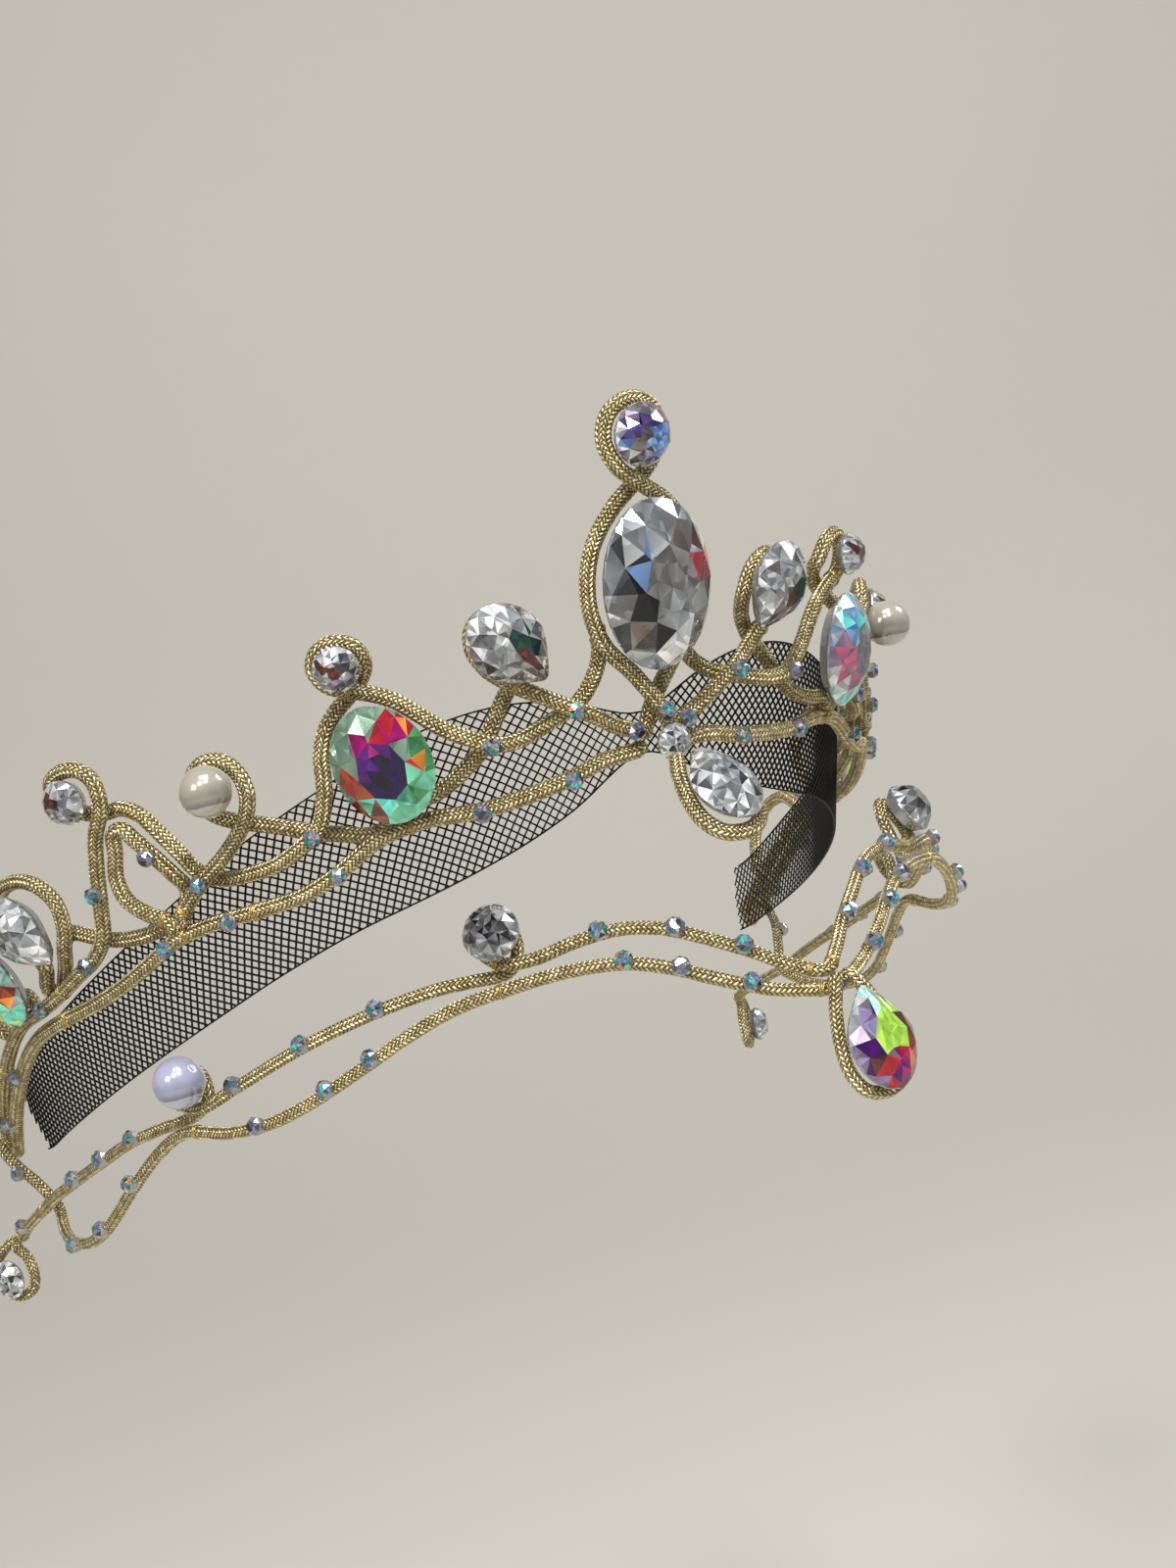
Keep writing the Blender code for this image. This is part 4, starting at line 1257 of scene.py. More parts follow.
def evenly(path, step):
    """The path's points at even spacing, and their distances along it."""
    lengths = np.concatenate([[0.0], np.cumsum(np.linalg.norm(np.diff(path, axis=0), axis=1))])
    places = np.linspace(0.0, lengths[-1], max(4, int(round(lengths[-1] / step)) + 1))
    return np.column_stack([np.interp(places, lengths, path[:, i]) for i in range(3)]), places


def path_frames(line):
    """Tangents and a pair of side directions that turn as little as they can along the line."""
    tangents = np.gradient(line, axis=0)
    tangents /= np.linalg.norm(tangents, axis=1)[:, None]
    sides = np.empty_like(line)
    side = np.cross(tangents[0], (0.31, 0.42, 0.85))
    for i, tangent in enumerate(tangents):
        side = side - tangent * (side @ tangent)
        side /= np.linalg.norm(side)
        sides[i] = side
    return tangents, sides, np.cross(tangents, sides)


def tube_mesh(line, radii, sides_count):
    """Points and faces of a closed tube; radii has one row for each ring and one column for each side."""
    _, side, other = path_frames(line)
    turn = 2 * math.pi * np.arange(sides_count) / sides_count
    ring = np.cos(turn)[None, :, None] * side[:, None] + np.sin(turn)[None, :, None] * other[:, None]
    points = line[:, None] + ring * radii[:, :, None]
    count = len(line)
    points = np.vstack([points.reshape(-1, 3), line[:1], line[-1:]])
    rows = np.arange(count - 1)[:, None] * sides_count
    here = np.arange(sides_count)[None]
    there = (here + 1) % sides_count
    above = rows + sides_count
    quads = np.stack([rows + here, rows + there, above + there, above + here], axis=2)
    faces = quads.reshape(-1, 4).tolist()
    start, end = count * sides_count, count * sides_count + 1
    last = (count - 1) * sides_count
    for j in range(sides_count):
        k = (j + 1) % sides_count
        faces.append((start, k, j))
        faces.append((end, last + j, last + k))
    return points, faces


def braid_height(around, along, strands, pitch):
    """Height of the strand on top, from 0 in a crease to 1 on the crown of its stitch."""
    first = around * strands + along / pitch
    second = around * strands - along / pitch
    on_top = np.mod(np.floor(first) + np.floor(second), 4) < 1.5
    across = np.where(on_top, first, second)
    down = np.where(on_top, np.mod(second + np.floor(first), 4), np.mod(first + np.floor(second), 4) - 2)
    swell = np.sin(math.pi / 2 * np.clip(down, 0, 2))
    return np.sin(math.pi * (across - np.floor(across))) * np.sqrt(np.clip(swell, 0, 1))


def make_braid(name, path, diameter, strands, sizes, material):
    """One braided cord along a path, with its strands standing up from it and rounded ends."""
    sides_count = SIDES_PER_STRAND * strands
    line, places = evenly(path, sizes.ring_step / MM)
    radius = diameter / 2
    pitch = math.pi * diameter / strands
    around = np.arange(sides_count)[None] / sides_count
    relief = braid_height(around, places[:, None], strands, pitch)
    radii = radius + sizes.braid_depth / MM * (relief - 0.5)
    from_end = np.minimum(places, places[-1] - places)[:, None]
    rounded = 1 - (1 - np.clip(from_end / (END_ROUNDING * radius), 0, 1)) ** 2
    radii = radii * np.sqrt(np.clip(rounded, END_THINNEST, 1.0))
    points, faces = tube_mesh(line, radii, sides_count)
    made = new_mesh_object(name, points, faces, [material])
    count = len(line)
    quads = np.empty((count - 1, sides_count, 4, 2), np.float32)
    quads[:, :, (0, 3), 0] = (np.arange(sides_count) / sides_count)[None, :, None]
    quads[:, :, (1, 2), 0] = (np.arange(1, sides_count + 1) / sides_count)[None, :, None]
    quads[:, :, (0, 1), 1] = places[:-1, None, None]
    quads[:, :, (2, 3), 1] = places[1:, None, None]
    caps = np.zeros((2 * sides_count * 3, 2), np.float32)
    layer = made.data.uv_layers.new(name="cord")
    layer.data.foreach_set("uv", np.concatenate([quads.reshape(-1, 2), caps]).ravel())
    return made


def crown_paths(side):
    """The crown's cords on one side of the head."""
    return {
        name: smooth_path([crown_point(around * side, up, out) for around, up, out in rows], PATH_STEP)
        for name, rows in CROWN_CORDS.items()
    }


def carried(path, others, reach):
    """The path with each end carried on to the nearest cord within reach, where they are stitched."""
    added = []
    for end, before in ((path[0], path[3]), (path[-1], path[-4])):
        ahead = (end - before) / np.linalg.norm(end - before)
        probe = end + 1.2 * ahead
        nearest = [other[np.argmin(np.linalg.norm(other - probe, axis=1))] for other in others]
        spot = min(nearest, key=lambda point: np.linalg.norm(point - probe))
        gap = float(np.linalg.norm(spot - end))
        if gap < END_IN or gap > reach:
            added.append([end + END_REACH * ahead])
            continue
        target = end + (spot - end) * (1 - END_IN / gap)
        bend = end + ahead * 0.5 * (gap - END_IN)
        steps = np.linspace(0, 1, 7)[1:]
        curve = [(1 - t) ** 2 * end + 2 * t * (1 - t) * bend + t**2 * target for t in steps]
        added.append(curve)
    return np.vstack([added[0][::-1], path, added[1]])


def centre_path():
    """The cord round the two centre stones."""
    return smooth_path([crown_point(*row) for row in CENTRE_LOOP], PATH_STEP)


def brow_paths():
    """The garland's cords, whole from side to side."""
    made = {}
    for name, rows in BROW_CORDS.items():
        whole = [(-around, up, out) for around, up, out in rows[:0:-1]] + list(rows)
        made[name] = smooth_path([brow_point(*row) for row in whole], PATH_STEP)
    return made


def drop_paths():
    """The loops that carry the hanging stones."""
    made = {}
    for name, drop, side in drops():
        spot, across, along, _ = drop_frame(drop, side)
        loop = [spot + across * x - along * y for x, y in drop["loop"]]
        made[name] = smooth_path(loop, PATH_STEP)
    return made


def drops():
    """The hanging stones: name, values and side of each."""
    listed = [("centre_drop", CENTRE_DROP, 1.0), ("brow_drop", BROW_DROP, 1.0)]
    return listed + [(f"{side_name}_end_drop", END_DROP, side) for side_name, side in SIDES]


def dress(obj, slot, *nodes):
    """Parents a piece to the tiara's body and hides the plain solids that it stands for."""
    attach(obj, BODY)
    if nodes:
        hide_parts(*nodes)


def all_cord_paths():
    """Every cord's path and radius, in the order that the stones' seats need."""
    paths = [(centre_path(), CROWN_CORD / 2)]
    for _, side in SIDES:
        paths += [(path, CROWN_CORD / 2) for path in crown_paths(side).values()]
    return paths + [(path, BROW_CORD / 2) for path in brow_paths().values()]


def cut_stone_mesh(shape, width, length, height, chart):
    """Points, triangles, corner tones of stone colour and painted reflection, and foil marks of a cut stone
    in its own plane, in millimetres.
    """
    rim_row, edge_row, kite_low, kite_high, stars, table_edge, table_ring, table_middle = chart
    count = GIRDLE_POINTS
    fine = outline(shape, width, length, count)
    points, faces, tones, foil = [], [], [], []

    def ring(place, step, start=0):
        scale, level = place
        base = len(points)
        for i in range(start, count, step):
            x, y = fine[i]
            points.append((x * scale, y * scale, height * level))
        return [base + i for i in range(len(points) - base)]

    def add(face, letter, is_foil=False):
        faces.append(face)
        tones.append(PAINTED_REFLECTION_AND_STONE_TONES[letter])
        foil.append(is_foil)

    foot = ring(FOOT_RING, 1)
    low = ring(LOW_RING, 1)
    girdle = ring(GIRDLE_RING, 1)
    rim = ring(RIM_RING, 1)
    tips = ring(TIP_RING, 4)
    sides = ring(SIDE_RING, 4, 2)
    high = ring(HIGH_RING, 4)
    table = ring(TABLE_RING, 4)
    inner = ring(INNER_RING, 4, 2)
    middle = len(points)
    points.append((0.0, 0.0, height))
    under = len(points)
    points.append((0.0, 0.0, 0.0))
    for i in range(count):
        j = (i + 1) % count
        add((foot[j], foot[i], under), "P", True)
        for below, above in ((foot, low), (low, girdle)):
            add((below[i], below[j], above[j]), "P", True)
            add((below[i], above[j], above[i]), "P", True)
        add((girdle[i], girdle[j], rim[j]), "M")
        add((girdle[i], rim[j], rim[i]), "P")
    for k in range(8):
        first, after, before = 4 * k, (k + 1) % 8, (k - 1) % 8
        at = [rim[(first + step) % count] for step in range(5)]
        add((tips[k], at[0], at[1]), rim_row[2 * k])
        add((tips[k], at[1], sides[k]), edge_row[2 * k])
        add((sides[k], at[1], at[2]), rim_row[2 * k])
        add((sides[k], at[2], at[3]), rim_row[2 * k + 1])
        add((sides[k], at[3], tips[after]), edge_row[2 * k + 1])
        add((tips[after], at[3], at[4]), rim_row[2 * k + 1])
        add((tips[k], sides[k], high[k]), kite_low[2 * k])
        add((tips[k], high[k], sides[before]), kite_low[2 * k + 1])
        add((high[k], sides[k], table[k]), kite_high[2 * k])
        add((high[k], table[k], sides[before]), kite_high[2 * k + 1])
        add((table[k], sides[k], table[after]), stars[k])
        add((table[k], table[after], inner[k]), table_edge[k])
        add((table[k], inner[k], inner[before]), table_ring[k])
        add((inner[before], inner[k], middle), table_middle[k])
    return np.array(points), faces, tones, foil


def place_points(points, spot, across, along, outward, back, turn):
    """Stands a flat piece's points, in millimetres, on a frame."""
    angle = math.radians(turn)
    x = points[:, 0] * math.cos(angle) - points[:, 1] * math.sin(angle)
    y = points[:, 0] * math.sin(angle) + points[:, 1] * math.cos(angle)
    return spot + np.outer(x, across) + np.outer(y, along) + np.outer(points[:, 2] + back, outward)


def colour_facets(obj, tones):
    """Gives each facet its tone of stone colour and painted reflection, with a painted gradient lighter
    toward one corner, and as fourth value its own shard pattern.
    """
    layer = obj.data.color_attributes.new(name="facet", type="FLOAT_COLOR", domain="CORNER")
    values = np.array([(*tone, FACET_SHIFT * i % 1.0) for i, tone in enumerate(tones)], np.float32)
    values = np.repeat(values, 3, axis=0)
    # Painted reflection: each facet grows lighter from one corner to the next
    fall = np.array(FACET_FALL, np.float32)
    turns = [np.roll(fall, (5 * i) % 3) for i in range(len(tones))]
    values[:, :3] *= np.concatenate(turns)[:, None]
    layer.data.foreach_set("color", np.minimum(values, 1.0).ravel())


def make_stone(name, chart, shape, frame_at, size, turn, back, materials):
    """One cut stone with its facets and its foil back."""
    spot, across, along, outward = frame_at
    points, faces, tones, foil = cut_stone_mesh(shape, *size, chart)
    placed = place_points(points, spot, across, along, outward, back, turn)
    made = new_mesh_object(name, placed, faces, materials, False, [int(mark) for mark in foil])
    colour_facets(made, tones)
    return made


def make_chaton_group(name, spots, width, materials):
    """Many small stones as one piece: each spot is a middle on the cord and its frame."""
    points, faces, tones, marks = [], [], [], []
    for index, (spot, across, along, outward) in enumerate(spots):
        chart = [PAINTED_REFLECTION_AND_STONE_TONES[letter] for letter in CHATON_CHARTS[index % len(CHATON_CHARTS)]]
        base = len(points)
        for scale, level, half in CHATON_RINGS:
            for i in range(CHATON_SIDES):
                turn = 2 * math.pi * (i + half) / CHATON_SIDES + CHATON_TURN * index
                x, y = math.cos(turn) * scale * width / 2, math.sin(turn) * scale * width / 2
                points.append(spot + across * x + along * y + outward * level * width)
        points.append(spot + outward * CHATON_TABLE * width)
        points.append(spot)
        for i in range(CHATON_SIDES):
            j = (i + 1) % CHATON_SIDES
            for r in (0, 1):
                low, high = base + CHATON_SIDES * r, base + CHATON_SIDES * (r + 1)
                faces += [(low + i, low + j, high + j), (low + i, high + j, high + i)]
                tones += [PAINTED_REFLECTION_AND_STONE_TONES["P"], PAINTED_REFLECTION_AND_STONE_TONES["P"]]
                marks += [1, 1]
            low, high = base + 2 * CHATON_SIDES, base + 3 * CHATON_SIDES
            table, under = base + 4 * CHATON_SIDES, base + 4 * CHATON_SIDES + 1
            faces += [(low + i, low + j, high + i), (low + j, high + j, high + i)]
            tones += [chart[i], chart[(i + 3) % CHATON_SIDES]]
            faces += [(high + i, high + j, table), (base + j, base + i, under)]
            tones += [chart[CHATON_SIDES + i // 4], PAINTED_REFLECTION_AND_STONE_TONES["P"]]
            marks += [0, 0, 0, 1]
    made = new_mesh_object(name, points, faces, materials, False, marks)
    colour_facets(made, tones)
    return made


def chaton_spots(path, diameter, surface, places, side):
    """Where the chatons sit on a cord, and their frames there."""
    spots = []
    for around, up in places:
        spot, across, along, outward = surface_frame(surface, around * side, up)
        offset = path - spot
        flat = offset - np.outer(offset @ outward, outward)
        nearest = path[np.argmin(np.linalg.norm(flat, axis=1) - 0.3 * (offset @ outward))]
        spots.append((nearest + outward * CHATON_LIFT * diameter, across, along, outward))
    return spots


def tie_line(path, k, outward, radius, turns, thread):
    """A coil of thread wound close about one spot of a cord."""
    turns = 0.5 * turns + 0.5
    angle = np.linspace(0, 2 * math.pi * turns, int(TIE_POINTS * turns))
    step = np.linspace(-0.5, 0.5, len(angle)) * turns * TIE_SPACING * thread
    tangent = path[min(k + 3, len(path) - 1)] - path[max(k - 3, 0)]
    tangent /= np.linalg.norm(tangent)
    sideways = np.cross(tangent, outward)
    sideways /= np.linalg.norm(sideways)
    out = np.cross(sideways, tangent)
    loose = radius * (1 + 0.035 * np.sin(3.3 * angle) + 0.02 * np.sin(7.7 * angle))
    return (
        path[k]
        + np.outer(np.cos(angle) * loose, sideways)
        + np.outer(np.sin(angle) * loose, out)
        + np.outer(step, tangent)
    )


def make_ties(name, coils, thread, material):
    """Coils of gold thread as one piece."""
    points, faces = [], []
    base = 0
    for coil in coils:
        radii = np.full((len(coil), TIE_SIDES), thread / 2)
        more, more_faces = tube_mesh(coil, radii, TIE_SIDES)
        points.append(more)
        faces += [tuple(base + i for i in face) for face in more_faces]
        base += len(more)
    return new_mesh_object(name, np.vstack(points), faces, [material])


def coils_at(paths, ties, surface, side, radius, thread):
    """The coils of one side's ties, each at the point of its cord nearest its place."""
    made = []
    for cord, around, up, turns in ties:
        path = paths[cord]
        spot, _, _, outward = surface_frame(surface, around * side, up)
        k = int(np.argmin(np.linalg.norm(path - spot, axis=1)))
        made.append(tie_line(path, k, outward, radius, turns, thread))
    return made


def pearl_points(diameter, segments, rings):
    """A round pearl with its drilled ends pulled in, a hair off round as glass pearls are."""
    points, faces = [], []
    for i in range(rings + 1):
        polar = math.pi * i / rings
        for j in range(segments):
            turn = 2 * math.pi * j / segments
            radius = diameter / 2 * (1 + PEARL_WOBBLE * math.sin(2 * turn + 1.0) * math.sin(polar))
            flat = max(math.sin(polar), PEARL_HOLE)
            depth = 1 - PEARL_SINK + PEARL_SINK * math.sqrt(min(flat / PEARL_SINK_WIDTH, 1.0))
            x, y = radius * flat * math.cos(turn), radius * flat * math.sin(turn)
            points.append((x, y, radius * math.cos(polar) * depth))
    for i in range(rings):
        for j in range(segments):
            k = (j + 1) % segments
            low, high = i * segments, (i + 1) * segments
            faces.append((low + j, high + j, high + k, low + k))
    faces.append(tuple(range(segments)))
    faces.append(tuple(rings * segments + j for j in range(segments - 1, -1, -1)))
    return np.array(points), faces


def pearl_seat(frame_at, diameter, paths):
    """Where a pearl's middle lies so that it just clears the cords behind it."""
    spot, _, _, outward = frame_at
    height = 0.0
    for path, radius in paths:
        offset = path - spot
        level = offset @ outward
        lateral = np.linalg.norm(offset - np.outer(level, outward), axis=1)
        reach = diameter / 2 + radius + GAP
        touching = (lateral < reach) & (np.abs(level) < PEARL_SEAT_DEPTH)
        if np.any(touching):
            top = level[touching] + np.sqrt(reach**2 - lateral[touching] ** 2)
            height = max(height, float(top.max()))
    return spot + outward * height


def make_pearl(name, frame_at, diameter, paths, material):
    """A glass pearl on its loop, drilled across, with its height kept for the painted reflection band."""
    _, across, along, outward = frame_at
    middle = pearl_seat(frame_at, diameter, paths)
    points, faces = pearl_points(diameter, PEARL_SEGMENTS, PEARL_RINGS)
    tilt = along * 0.5 + across * 0.86
    tilt /= np.linalg.norm(tilt)
    second = np.cross(outward, tilt)
    placed = middle + np.outer(points[:, 2], tilt)
    placed = placed + np.outer(points[:, 0], outward) + np.outer(points[:, 1], second)
    made = new_mesh_object(name, placed, faces, [material])
    # Each corner's height sets the pearl's painted reflection band
    levels = 0.5 + (placed[:, 2] - middle[2]) / diameter
    corners = np.empty(len(made.data.loops), np.int32)
    made.data.loops.foreach_get("vertex_index", corners)
    layer = made.data.uv_layers.new(name="height")
    layer.data.foreach_set("uv", np.column_stack([np.full(len(corners), 0.5), levels[corners]]).ravel())
    return made


def smoothed(values):
    """The values with each one averaged with its neighbours."""
    padded = np.pad(values, NET_BLUR // 2, mode="edge")
    return np.convolve(padded, np.ones(NET_BLUR) / NET_BLUR, mode="valid")


def net_edges():
    """Evenly spaced stations along the net band: around, distance along it, low edge and high edge."""
    half = np.array(NET_BAND)
    rows = np.vstack([half[:0:-1] * np.array([-1.0, 1.0, 1.0]), half])
    around = np.linspace(rows[0, 0], rows[-1, 0], NET_STATIONS)
    low = np.interp(around, rows[:, 0], rows[:, 1])
    high = np.interp(around, rows[:, 0], rows[:, 2])
    low, high = smoothed(low), smoothed(high)
    middle = np.array([crown_point(a, (l + h) / 2, NET_OUT) for a, l, h in zip(around, low, high)])
    flat = middle * np.array([1.0, 1.0, 0.0])
    distance = np.concatenate([[0.0], np.cumsum(np.linalg.norm(np.diff(flat, axis=0), axis=1))])
    return around, distance, low, high


def net_lines(cell):
    """The net's threads, as lines of points, and the band's flat area, length and width."""
    around, distance, low, high = net_edges()
    area = float(np.sum(np.diff(distance) * (high[1:] - low[1:])))
    middle = (low + high) / 2
    slope = smoothed(np.gradient(middle, distance))
    along = np.concatenate([[0.0], np.cumsum(np.hypot(np.diff(distance), np.diff(middle)))])
    reach = 0.6 * float((high - low).max()) + 3.0
    rises = np.arange(-reach, reach, NET_RISE)
    lines = []
    for family in (0, 1):
        lean = 1.0 if family else -1.0
        for start in np.arange(-reach, along[-1] + reach, cell):
            places = start + lean * rises
            angle = np.arctan(np.interp(places, along, slope))
            flat = np.interp(places, along, distance, left=-reach, right=distance[-1] + reach)
            flat = flat - rises * np.sin(angle)
            ups = np.interp(places, along, middle) + rises * np.cos(angle)
            inside = (flat >= 0) & (flat <= distance[-1])
            inside &= (ups > np.interp(flat, distance, low)) & (ups < np.interp(flat, distance, high))
            runs = np.flatnonzero(np.diff(np.concatenate([[0], inside.astype(int), [0]])))
            for first, last in zip(runs[::2], runs[1::2]):
                if last - first < NET_SHORTEST:
                    continue
                kept = max(2, int((last - first) / NET_THINNING))
                picked = np.linspace(first, last - 1, kept).round().astype(int)
                at = np.interp(flat[picked], distance, around)
                weave = NET_OUT + (NET_LAYER if family else -NET_LAYER)
                lines.append(np.array([crown_point(a, u, weave) for a, u in zip(at, ups[picked])]))
    for edge in (low, high):
        stations = range(0, len(around), NET_EDGE_STEP)
        lines.append(np.array([crown_point(around[i], edge[i], NET_OUT) for i in stations]))
    return lines, area, float(distance[-1]), float((high - low).max())


class TIARA_OT_crown_cords(Operator):
    """Braids the crown's cords along their loops"""

    bl_idname = "tiara.crown_cords"
    bl_label = "Crown Cords"

    def execute(self, context):
        sizes, colours = context.scene.tiara_sizes, context.scene.tiara_colours
        diameter = sizes.crown_cord / MM
        pitch = math.pi * diameter / CROWN_STRANDS
        braid = braid_material("crown_braid", CROWN_STRANDS, pitch, colours)

        def cord(name, path, *nodes):
            made = make_braid(name + "_braid", path, diameter, CROWN_STRANDS, sizes, braid)
            dress(made, "gold_cord", *nodes)

        cord("centre_loop", centre_path(), "centre_loop")
        for side_name, side in SIDES:
            paths = crown_paths(side)
            paths["long_swag"] = np.vstack([paths.pop("front_swag"), paths.pop("side_swag")])
            for name, path in paths.items():
                others = [other for key, other in paths.items() if key != name] + [centre_path()]
                path = carried(path, others, CROWN_REACH)
                nodes = [side_name + "_" + name]
                if name == "long_swag":
                    nodes = [side_name + "_front_swag", side_name + "_side_swag"]
                cord(side_name + "_" + name, path, *nodes)
        feet = [crown_paths(side)["foot_band"] for _, side in SIDES]
        path = carried(drop_paths()["centre_drop"], feet, DROP_REACH)
        cord("centre_drop", path, "centre_drop_loop")
        return {"FINISHED"}


class TIARA_OT_brow_cords(Operator):
    """Braids the garland's thinner cords over the forehead"""

    bl_idname = "tiara.brow_cords"
    bl_label = "Garland Cords"

    def execute(self, context):
        sizes, colours = context.scene.tiara_sizes, context.scene.tiara_colours
        diameter = sizes.brow_cord / MM
        pitch = math.pi * diameter / BROW_STRANDS
        braid = braid_material("garland_braid", BROW_STRANDS, pitch, colours)

        def cord(name, path, node):
            made = make_braid(name + "_braid", path, diameter, BROW_STRANDS, sizes, braid)
            dress(made, "gold_cord", node)

        feet = [crown_paths(side)["foot_band"] for _, side in SIDES]
        brows = brow_paths()
        for name, path in brows.items():
            path = carried(path, feet, CROWN_REACH)
            cord(name, path, name)
        for name, path in drop_paths().items():
            if name != "centre_drop":
                path = carried(path, list(brows.values()), DROP_REACH)
                cord(name, path, name + "_loop")
        return {"FINISHED"}


class TIARA_OT_stones(Operator):
    """Cuts the large stones and sets them on their cords"""

    bl_idname = "tiara.stones"
    bl_label = "Stones"

    def execute(self, context):
        colours = context.scene.tiara_colours
        looks = {
            "clear": facet_material("clear"),
            "great": facet_material("great"),
            "colour": facet_material("colour"),
        }
        foil = foil_material(colours)
        paths = all_cord_paths()
        listed = [("", 1.0, crown_point, row) for row in CENTRE_STONES]
        for side_name, side in SIDES:
            listed += [(side_name + "_", side, crown_point, row) for row in CROWN_STONES]
            listed += [(side_name + "_", side, brow_point, row) for row in BROW_STONES]
        for prefix, side, surface, (name, shape, around, up, width, length, height, turn) in listed:
            at = surface_frame(surface, around * side, up)
            size = (width, length, height)
            back = seat_height(at, size, turn * side, paths)
            slot = "colour_crystal" if name in ("colour_oval", "tip_oval") else "clear_crystal"
            pair = [looks["great" if name == "centre_oval" else slot.split("_")[0]], foil]
            chart = STONE_CHARTS[STONE_CHART_PICKS.get(prefix + name, STONE_CHART_PICKS[name])]
            stone = make_stone(prefix + name + "_cut", chart, shape, at, size, turn * side, back, pair)
            dress(stone, slot, prefix + name)
        for name, drop, side in drops():
            kind = "end_drop" if name.endswith("end_drop") else name
            cord = CROWN_CORD if name == "centre_drop" else BROW_CORD
            slot = "colour_crystal" if name == "brow_drop" else "clear_crystal"
            pair = [looks[slot.split("_")[0]], foil]
            back = cord / 2 + GAP
            chart = STONE_CHARTS[STONE_CHART_PICKS[kind]]
            at = drop_frame(drop, side)
            stone = make_stone(name + "_cut", chart, drop["shape"], at, drop["size"], 180.0, back, pair)
            dress(stone, slot, name)
        return {"FINISHED"}


class TIARA_OT_pearls(Operator):
    """Turns the pearls and seats them on their loops"""

    bl_idname = "tiara.pearls"
    bl_label = "Pearls"

    def execute(self, context):
        colour = tuple(context.scene.tiara_colours.pearl)
        cream = pearl_material("cream_pearl", colour, PEARL_CREAM_SHEEN)
        lilac = pearl_material("lilac_pearl", PEARL_LILAC, PEARL_LILAC_SHEEN)
        paths = all_cord_paths()
        for side_name, side in SIDES:
            around, up, diameter = CROWN_PEARL
            at = surface_frame(crown_point, around * side, up)
            node = side_name + "_crown_pearl"
            dress(make_pearl(node + "_round", at, diameter, paths, cream), "pearl", node)
            around, up, diameter = BROW_PEARL
            at = surface_frame(brow_point, around * side, up)
            node = side_name + "_brow_pearl"
            dress(make_pearl(node + "_round", at, diameter, paths, lilac), "pearl", node)
        return {"FINISHED"}


class TIARA_OT_chatons(Operator):
    """Glues the small coated stones along the cords"""

    bl_idname = "tiara.chatons"
    bl_label = "Chatons"

    def execute(self, context):
        sizes, colours = context.scene.tiara_sizes, context.scene.tiara_colours
        pair = [facet_material("chaton"), foil_material(colours)]
        width = sizes.chaton / MM
        spots = chaton_spots(centre_path(), CROWN_CORD, crown_point, ((0.0, 4.4),), 1.0)
        for _, side in SIDES:
            paths = crown_paths(side)
            for name, places in CROWN_CHATONS.items():
                spots += chaton_spots(paths[name], CROWN_CORD, crown_point, places, side)
        dress(make_chaton_group("crown_chatons", spots, width, pair), "clear_crystal")
        paths = brow_paths()
        spots = []
        for name, places in BROW_CHATONS.items():
            both = [(-around, up) for around, up in places if around > 0] + list(places)
            spots += chaton_spots(paths[name], BROW_CORD, brow_point, both, 1.0)
        dress(make_chaton_group("garland_chatons", spots, width, pair), "clear_crystal")
        return {"FINISHED"}


class TIARA_OT_ties(Operator):
    """Winds the gold thread that ties the cords where they cross and end"""

    bl_idname = "tiara.ties"
    bl_label = "Thread Ties"

    def execute(self, context):
        sizes, colours = context.scene.tiara_sizes, context.scene.tiara_colours
        thread = sizes.tie_thread / MM
        material = thread_material(colours)
        for side_name, side in SIDES:
            paths = crown_paths(side)
            radius = CROWN_CORD / 2 + TIE_BITE * thread
            coils = coils_at(paths, CROWN_TIES, crown_point, side, radius, thread)
            dress(make_ties(side_name + "_crown_ties", coils, thread, material), "gold_cord")
        paths = brow_paths()
        coils = []
        for _, side in SIDES:
            radius = BROW_CORD / 2 + TIE_BITE * thread
            coils += coils_at(paths, BROW_TIES, brow_point, side, radius, thread)
        dress(make_ties("garland_ties", coils, thread, material), "gold_cord")
        return {"FINISHED"}


class TIARA_OT_net(Operator):
    """Weaves the black net band behind the crown"""

    bl_idname = "tiara.net"
    bl_label = "Net Band"

    def execute(self, context):
        sizes, colours = context.scene.tiara_sizes, context.scene.tiara_colours
        lines, area, length, width = net_lines(sizes.net_cell / MM)
        points, faces = [], []
        base = 0
        for line in lines:
            radii = np.full((len(line), NET_SIDES), sizes.net_thread / MM / 2)
            more, more_faces = tube_mesh(line, radii, NET_SIDES)
            points.append(more)
            faces += [tuple(base + i for i in face) for face in more_faces]
            base += len(more)
        net = new_mesh_object("net_weave", np.vstack(points), faces, [net_material(colours)], False)
        dress(net, "black_net", "net_band")
        return {"FINISHED"}


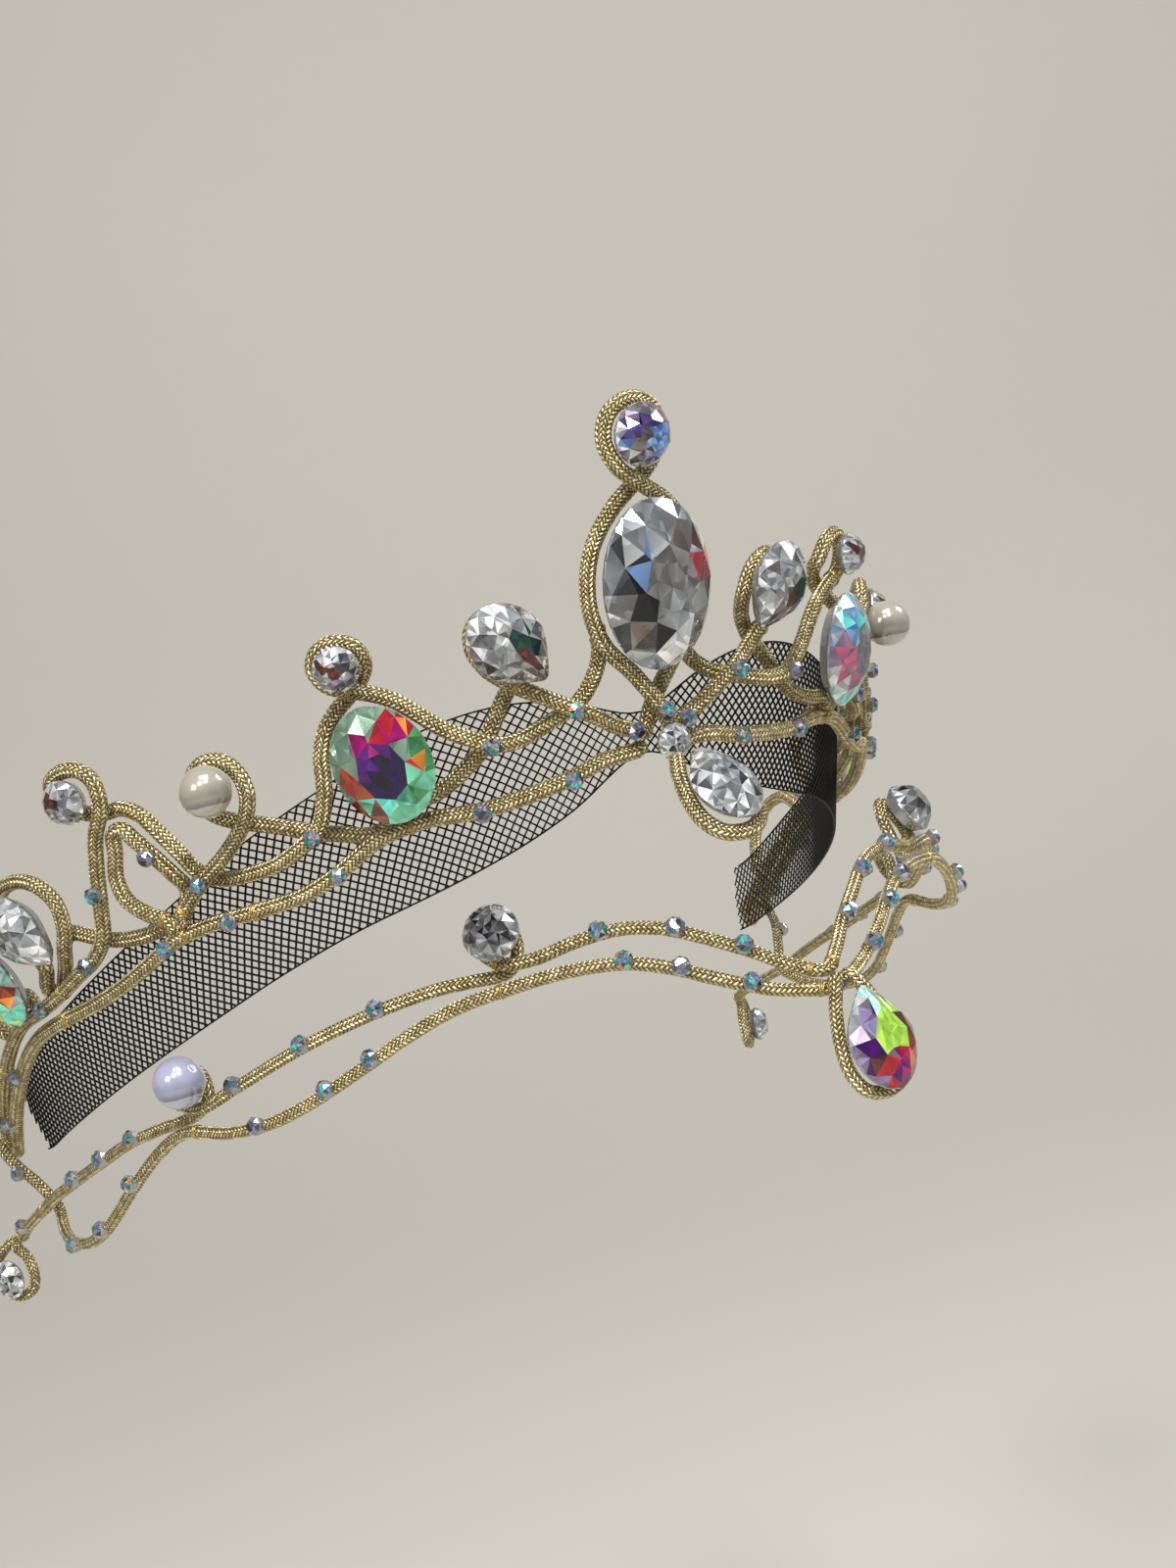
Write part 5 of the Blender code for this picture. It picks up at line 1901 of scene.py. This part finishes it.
class TIARA_OT_stage(Operator):
    """Sets the pale sweep, the soft lights and the camera"""

    bl_idname = "tiara.stage"
    bl_label = "Stage"

    def execute(self, context):
        scene = context.scene
        turn = Matrix.Rotation(math.radians(SWEEP_TURN), 3, "Z")
        points, faces = [], []
        for y, z in SWEEP_PROFILE:
            for x in (-SWEEP_HALF_WIDTH, SWEEP_HALF_WIDTH):
                points.append(tuple(turn @ Vector((x, y, z + SWEEP_LEVEL))))
        for i in range(len(SWEEP_PROFILE) - 1):
            faces.append((2 * i, 2 * i + 1, 2 * i + 3, 2 * i + 2))
        sweep = new_mesh_object("stage_sweep", np.array(points) / MM, faces, [wall_material()])
        bevel = sweep.modifiers.new("Round", "SUBSURF")
        bevel.levels = bevel.render_levels = 2
        bpy.context.view_layer.objects.active = sweep
        with bpy.context.temp_override(object=sweep, active_object=sweep, selected_objects=[sweep]):
            bpy.ops.object.modifier_apply(modifier=bevel.name)

        world = bpy.data.worlds.new("soft_room")
        scene.world = world
        world.use_nodes = True
        background = world.node_tree.nodes["Background"]
        background.inputs[0].default_value = ROOM_LIGHT
        background.inputs[1].default_value = ROOM_STRENGTH
        for name, place, aim, size, power, colour in LIGHTS:
            light = bpy.data.lights.new(name, "AREA")
            light.shape = "RECTANGLE"
            light.size, light.size_y = size
            light.energy = power
            light.color = colour
            lamp = bpy.data.objects.new(name, light)
            lamp.location = place
            lamp.rotation_euler = (Vector(aim) - Vector(place)).to_track_quat("-Z", "Y").to_euler()
            scene.collection.objects.link(lamp)

        lens = bpy.data.cameras.new("photo_camera")
        lens.lens = CAMERA_LENS
        lens.sensor_width = CAMERA_SENSOR
        lens.clip_start = CAMERA_CLIP
        camera = bpy.data.objects.new("photo_camera", lens)
        forward = Vector(CAMERA_FORWARD).normalized()
        right = Vector(CAMERA_RIGHT)
        right = (right - forward * right.dot(forward)).normalized()
        up = right.cross(forward)
        pose = Matrix((right, up, -forward)).transposed().to_4x4()
        pose.translation = Vector(CAMERA_PLACE)
        camera.matrix_world = pose
        scene.collection.objects.link(camera)
        scene.camera = camera
        scene.view_settings.view_transform = "Standard"
        return {"FINISHED"}


class TIARA_PT_panel(Panel):
    """Lists the steps that dress the tiara."""

    bl_idname = "TIARA_PT_panel"
    bl_label = "Ballet Tiara"
    bl_space_type = "VIEW_3D"
    bl_region_type = "UI"
    bl_category = "Tiara"

    def draw(self, context):
        layout = self.layout
        for group in (context.scene.tiara_sizes, context.scene.tiara_colours):
            box = layout.box()
            for name in group.__annotations__:
                box.prop(group, name)
        for step in STEPS:
            layout.operator(step.bl_idname)


STEPS = (
    TIARA_OT_crown_cords,
    TIARA_OT_brow_cords,
    TIARA_OT_stones,
    TIARA_OT_pearls,
    TIARA_OT_chatons,
    TIARA_OT_ties,
    TIARA_OT_net,
    TIARA_OT_stage,
)
CLASSES = (TiaraSizes, TiaraColours, *STEPS, TIARA_PT_panel)


def register():
    for item in CLASSES:
        bpy.utils.register_class(item)
    bpy.types.Scene.tiara_sizes = PointerProperty(type=TiaraSizes)
    bpy.types.Scene.tiara_colours = PointerProperty(type=TiaraColours)


def unregister():
    del bpy.types.Scene.tiara_colours
    del bpy.types.Scene.tiara_sizes
    for item in reversed(CLASSES):
        bpy.utils.unregister_class(item)


def main():
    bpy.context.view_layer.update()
    register()
    bpy.ops.tiara.crown_cords()
    bpy.ops.tiara.brow_cords()
    bpy.ops.tiara.stones()
    bpy.ops.tiara.pearls()
    bpy.ops.tiara.chatons()
    bpy.ops.tiara.ties()
    bpy.ops.tiara.net()
    bpy.ops.tiara.stage()


if __name__ == "__main__":
    main()
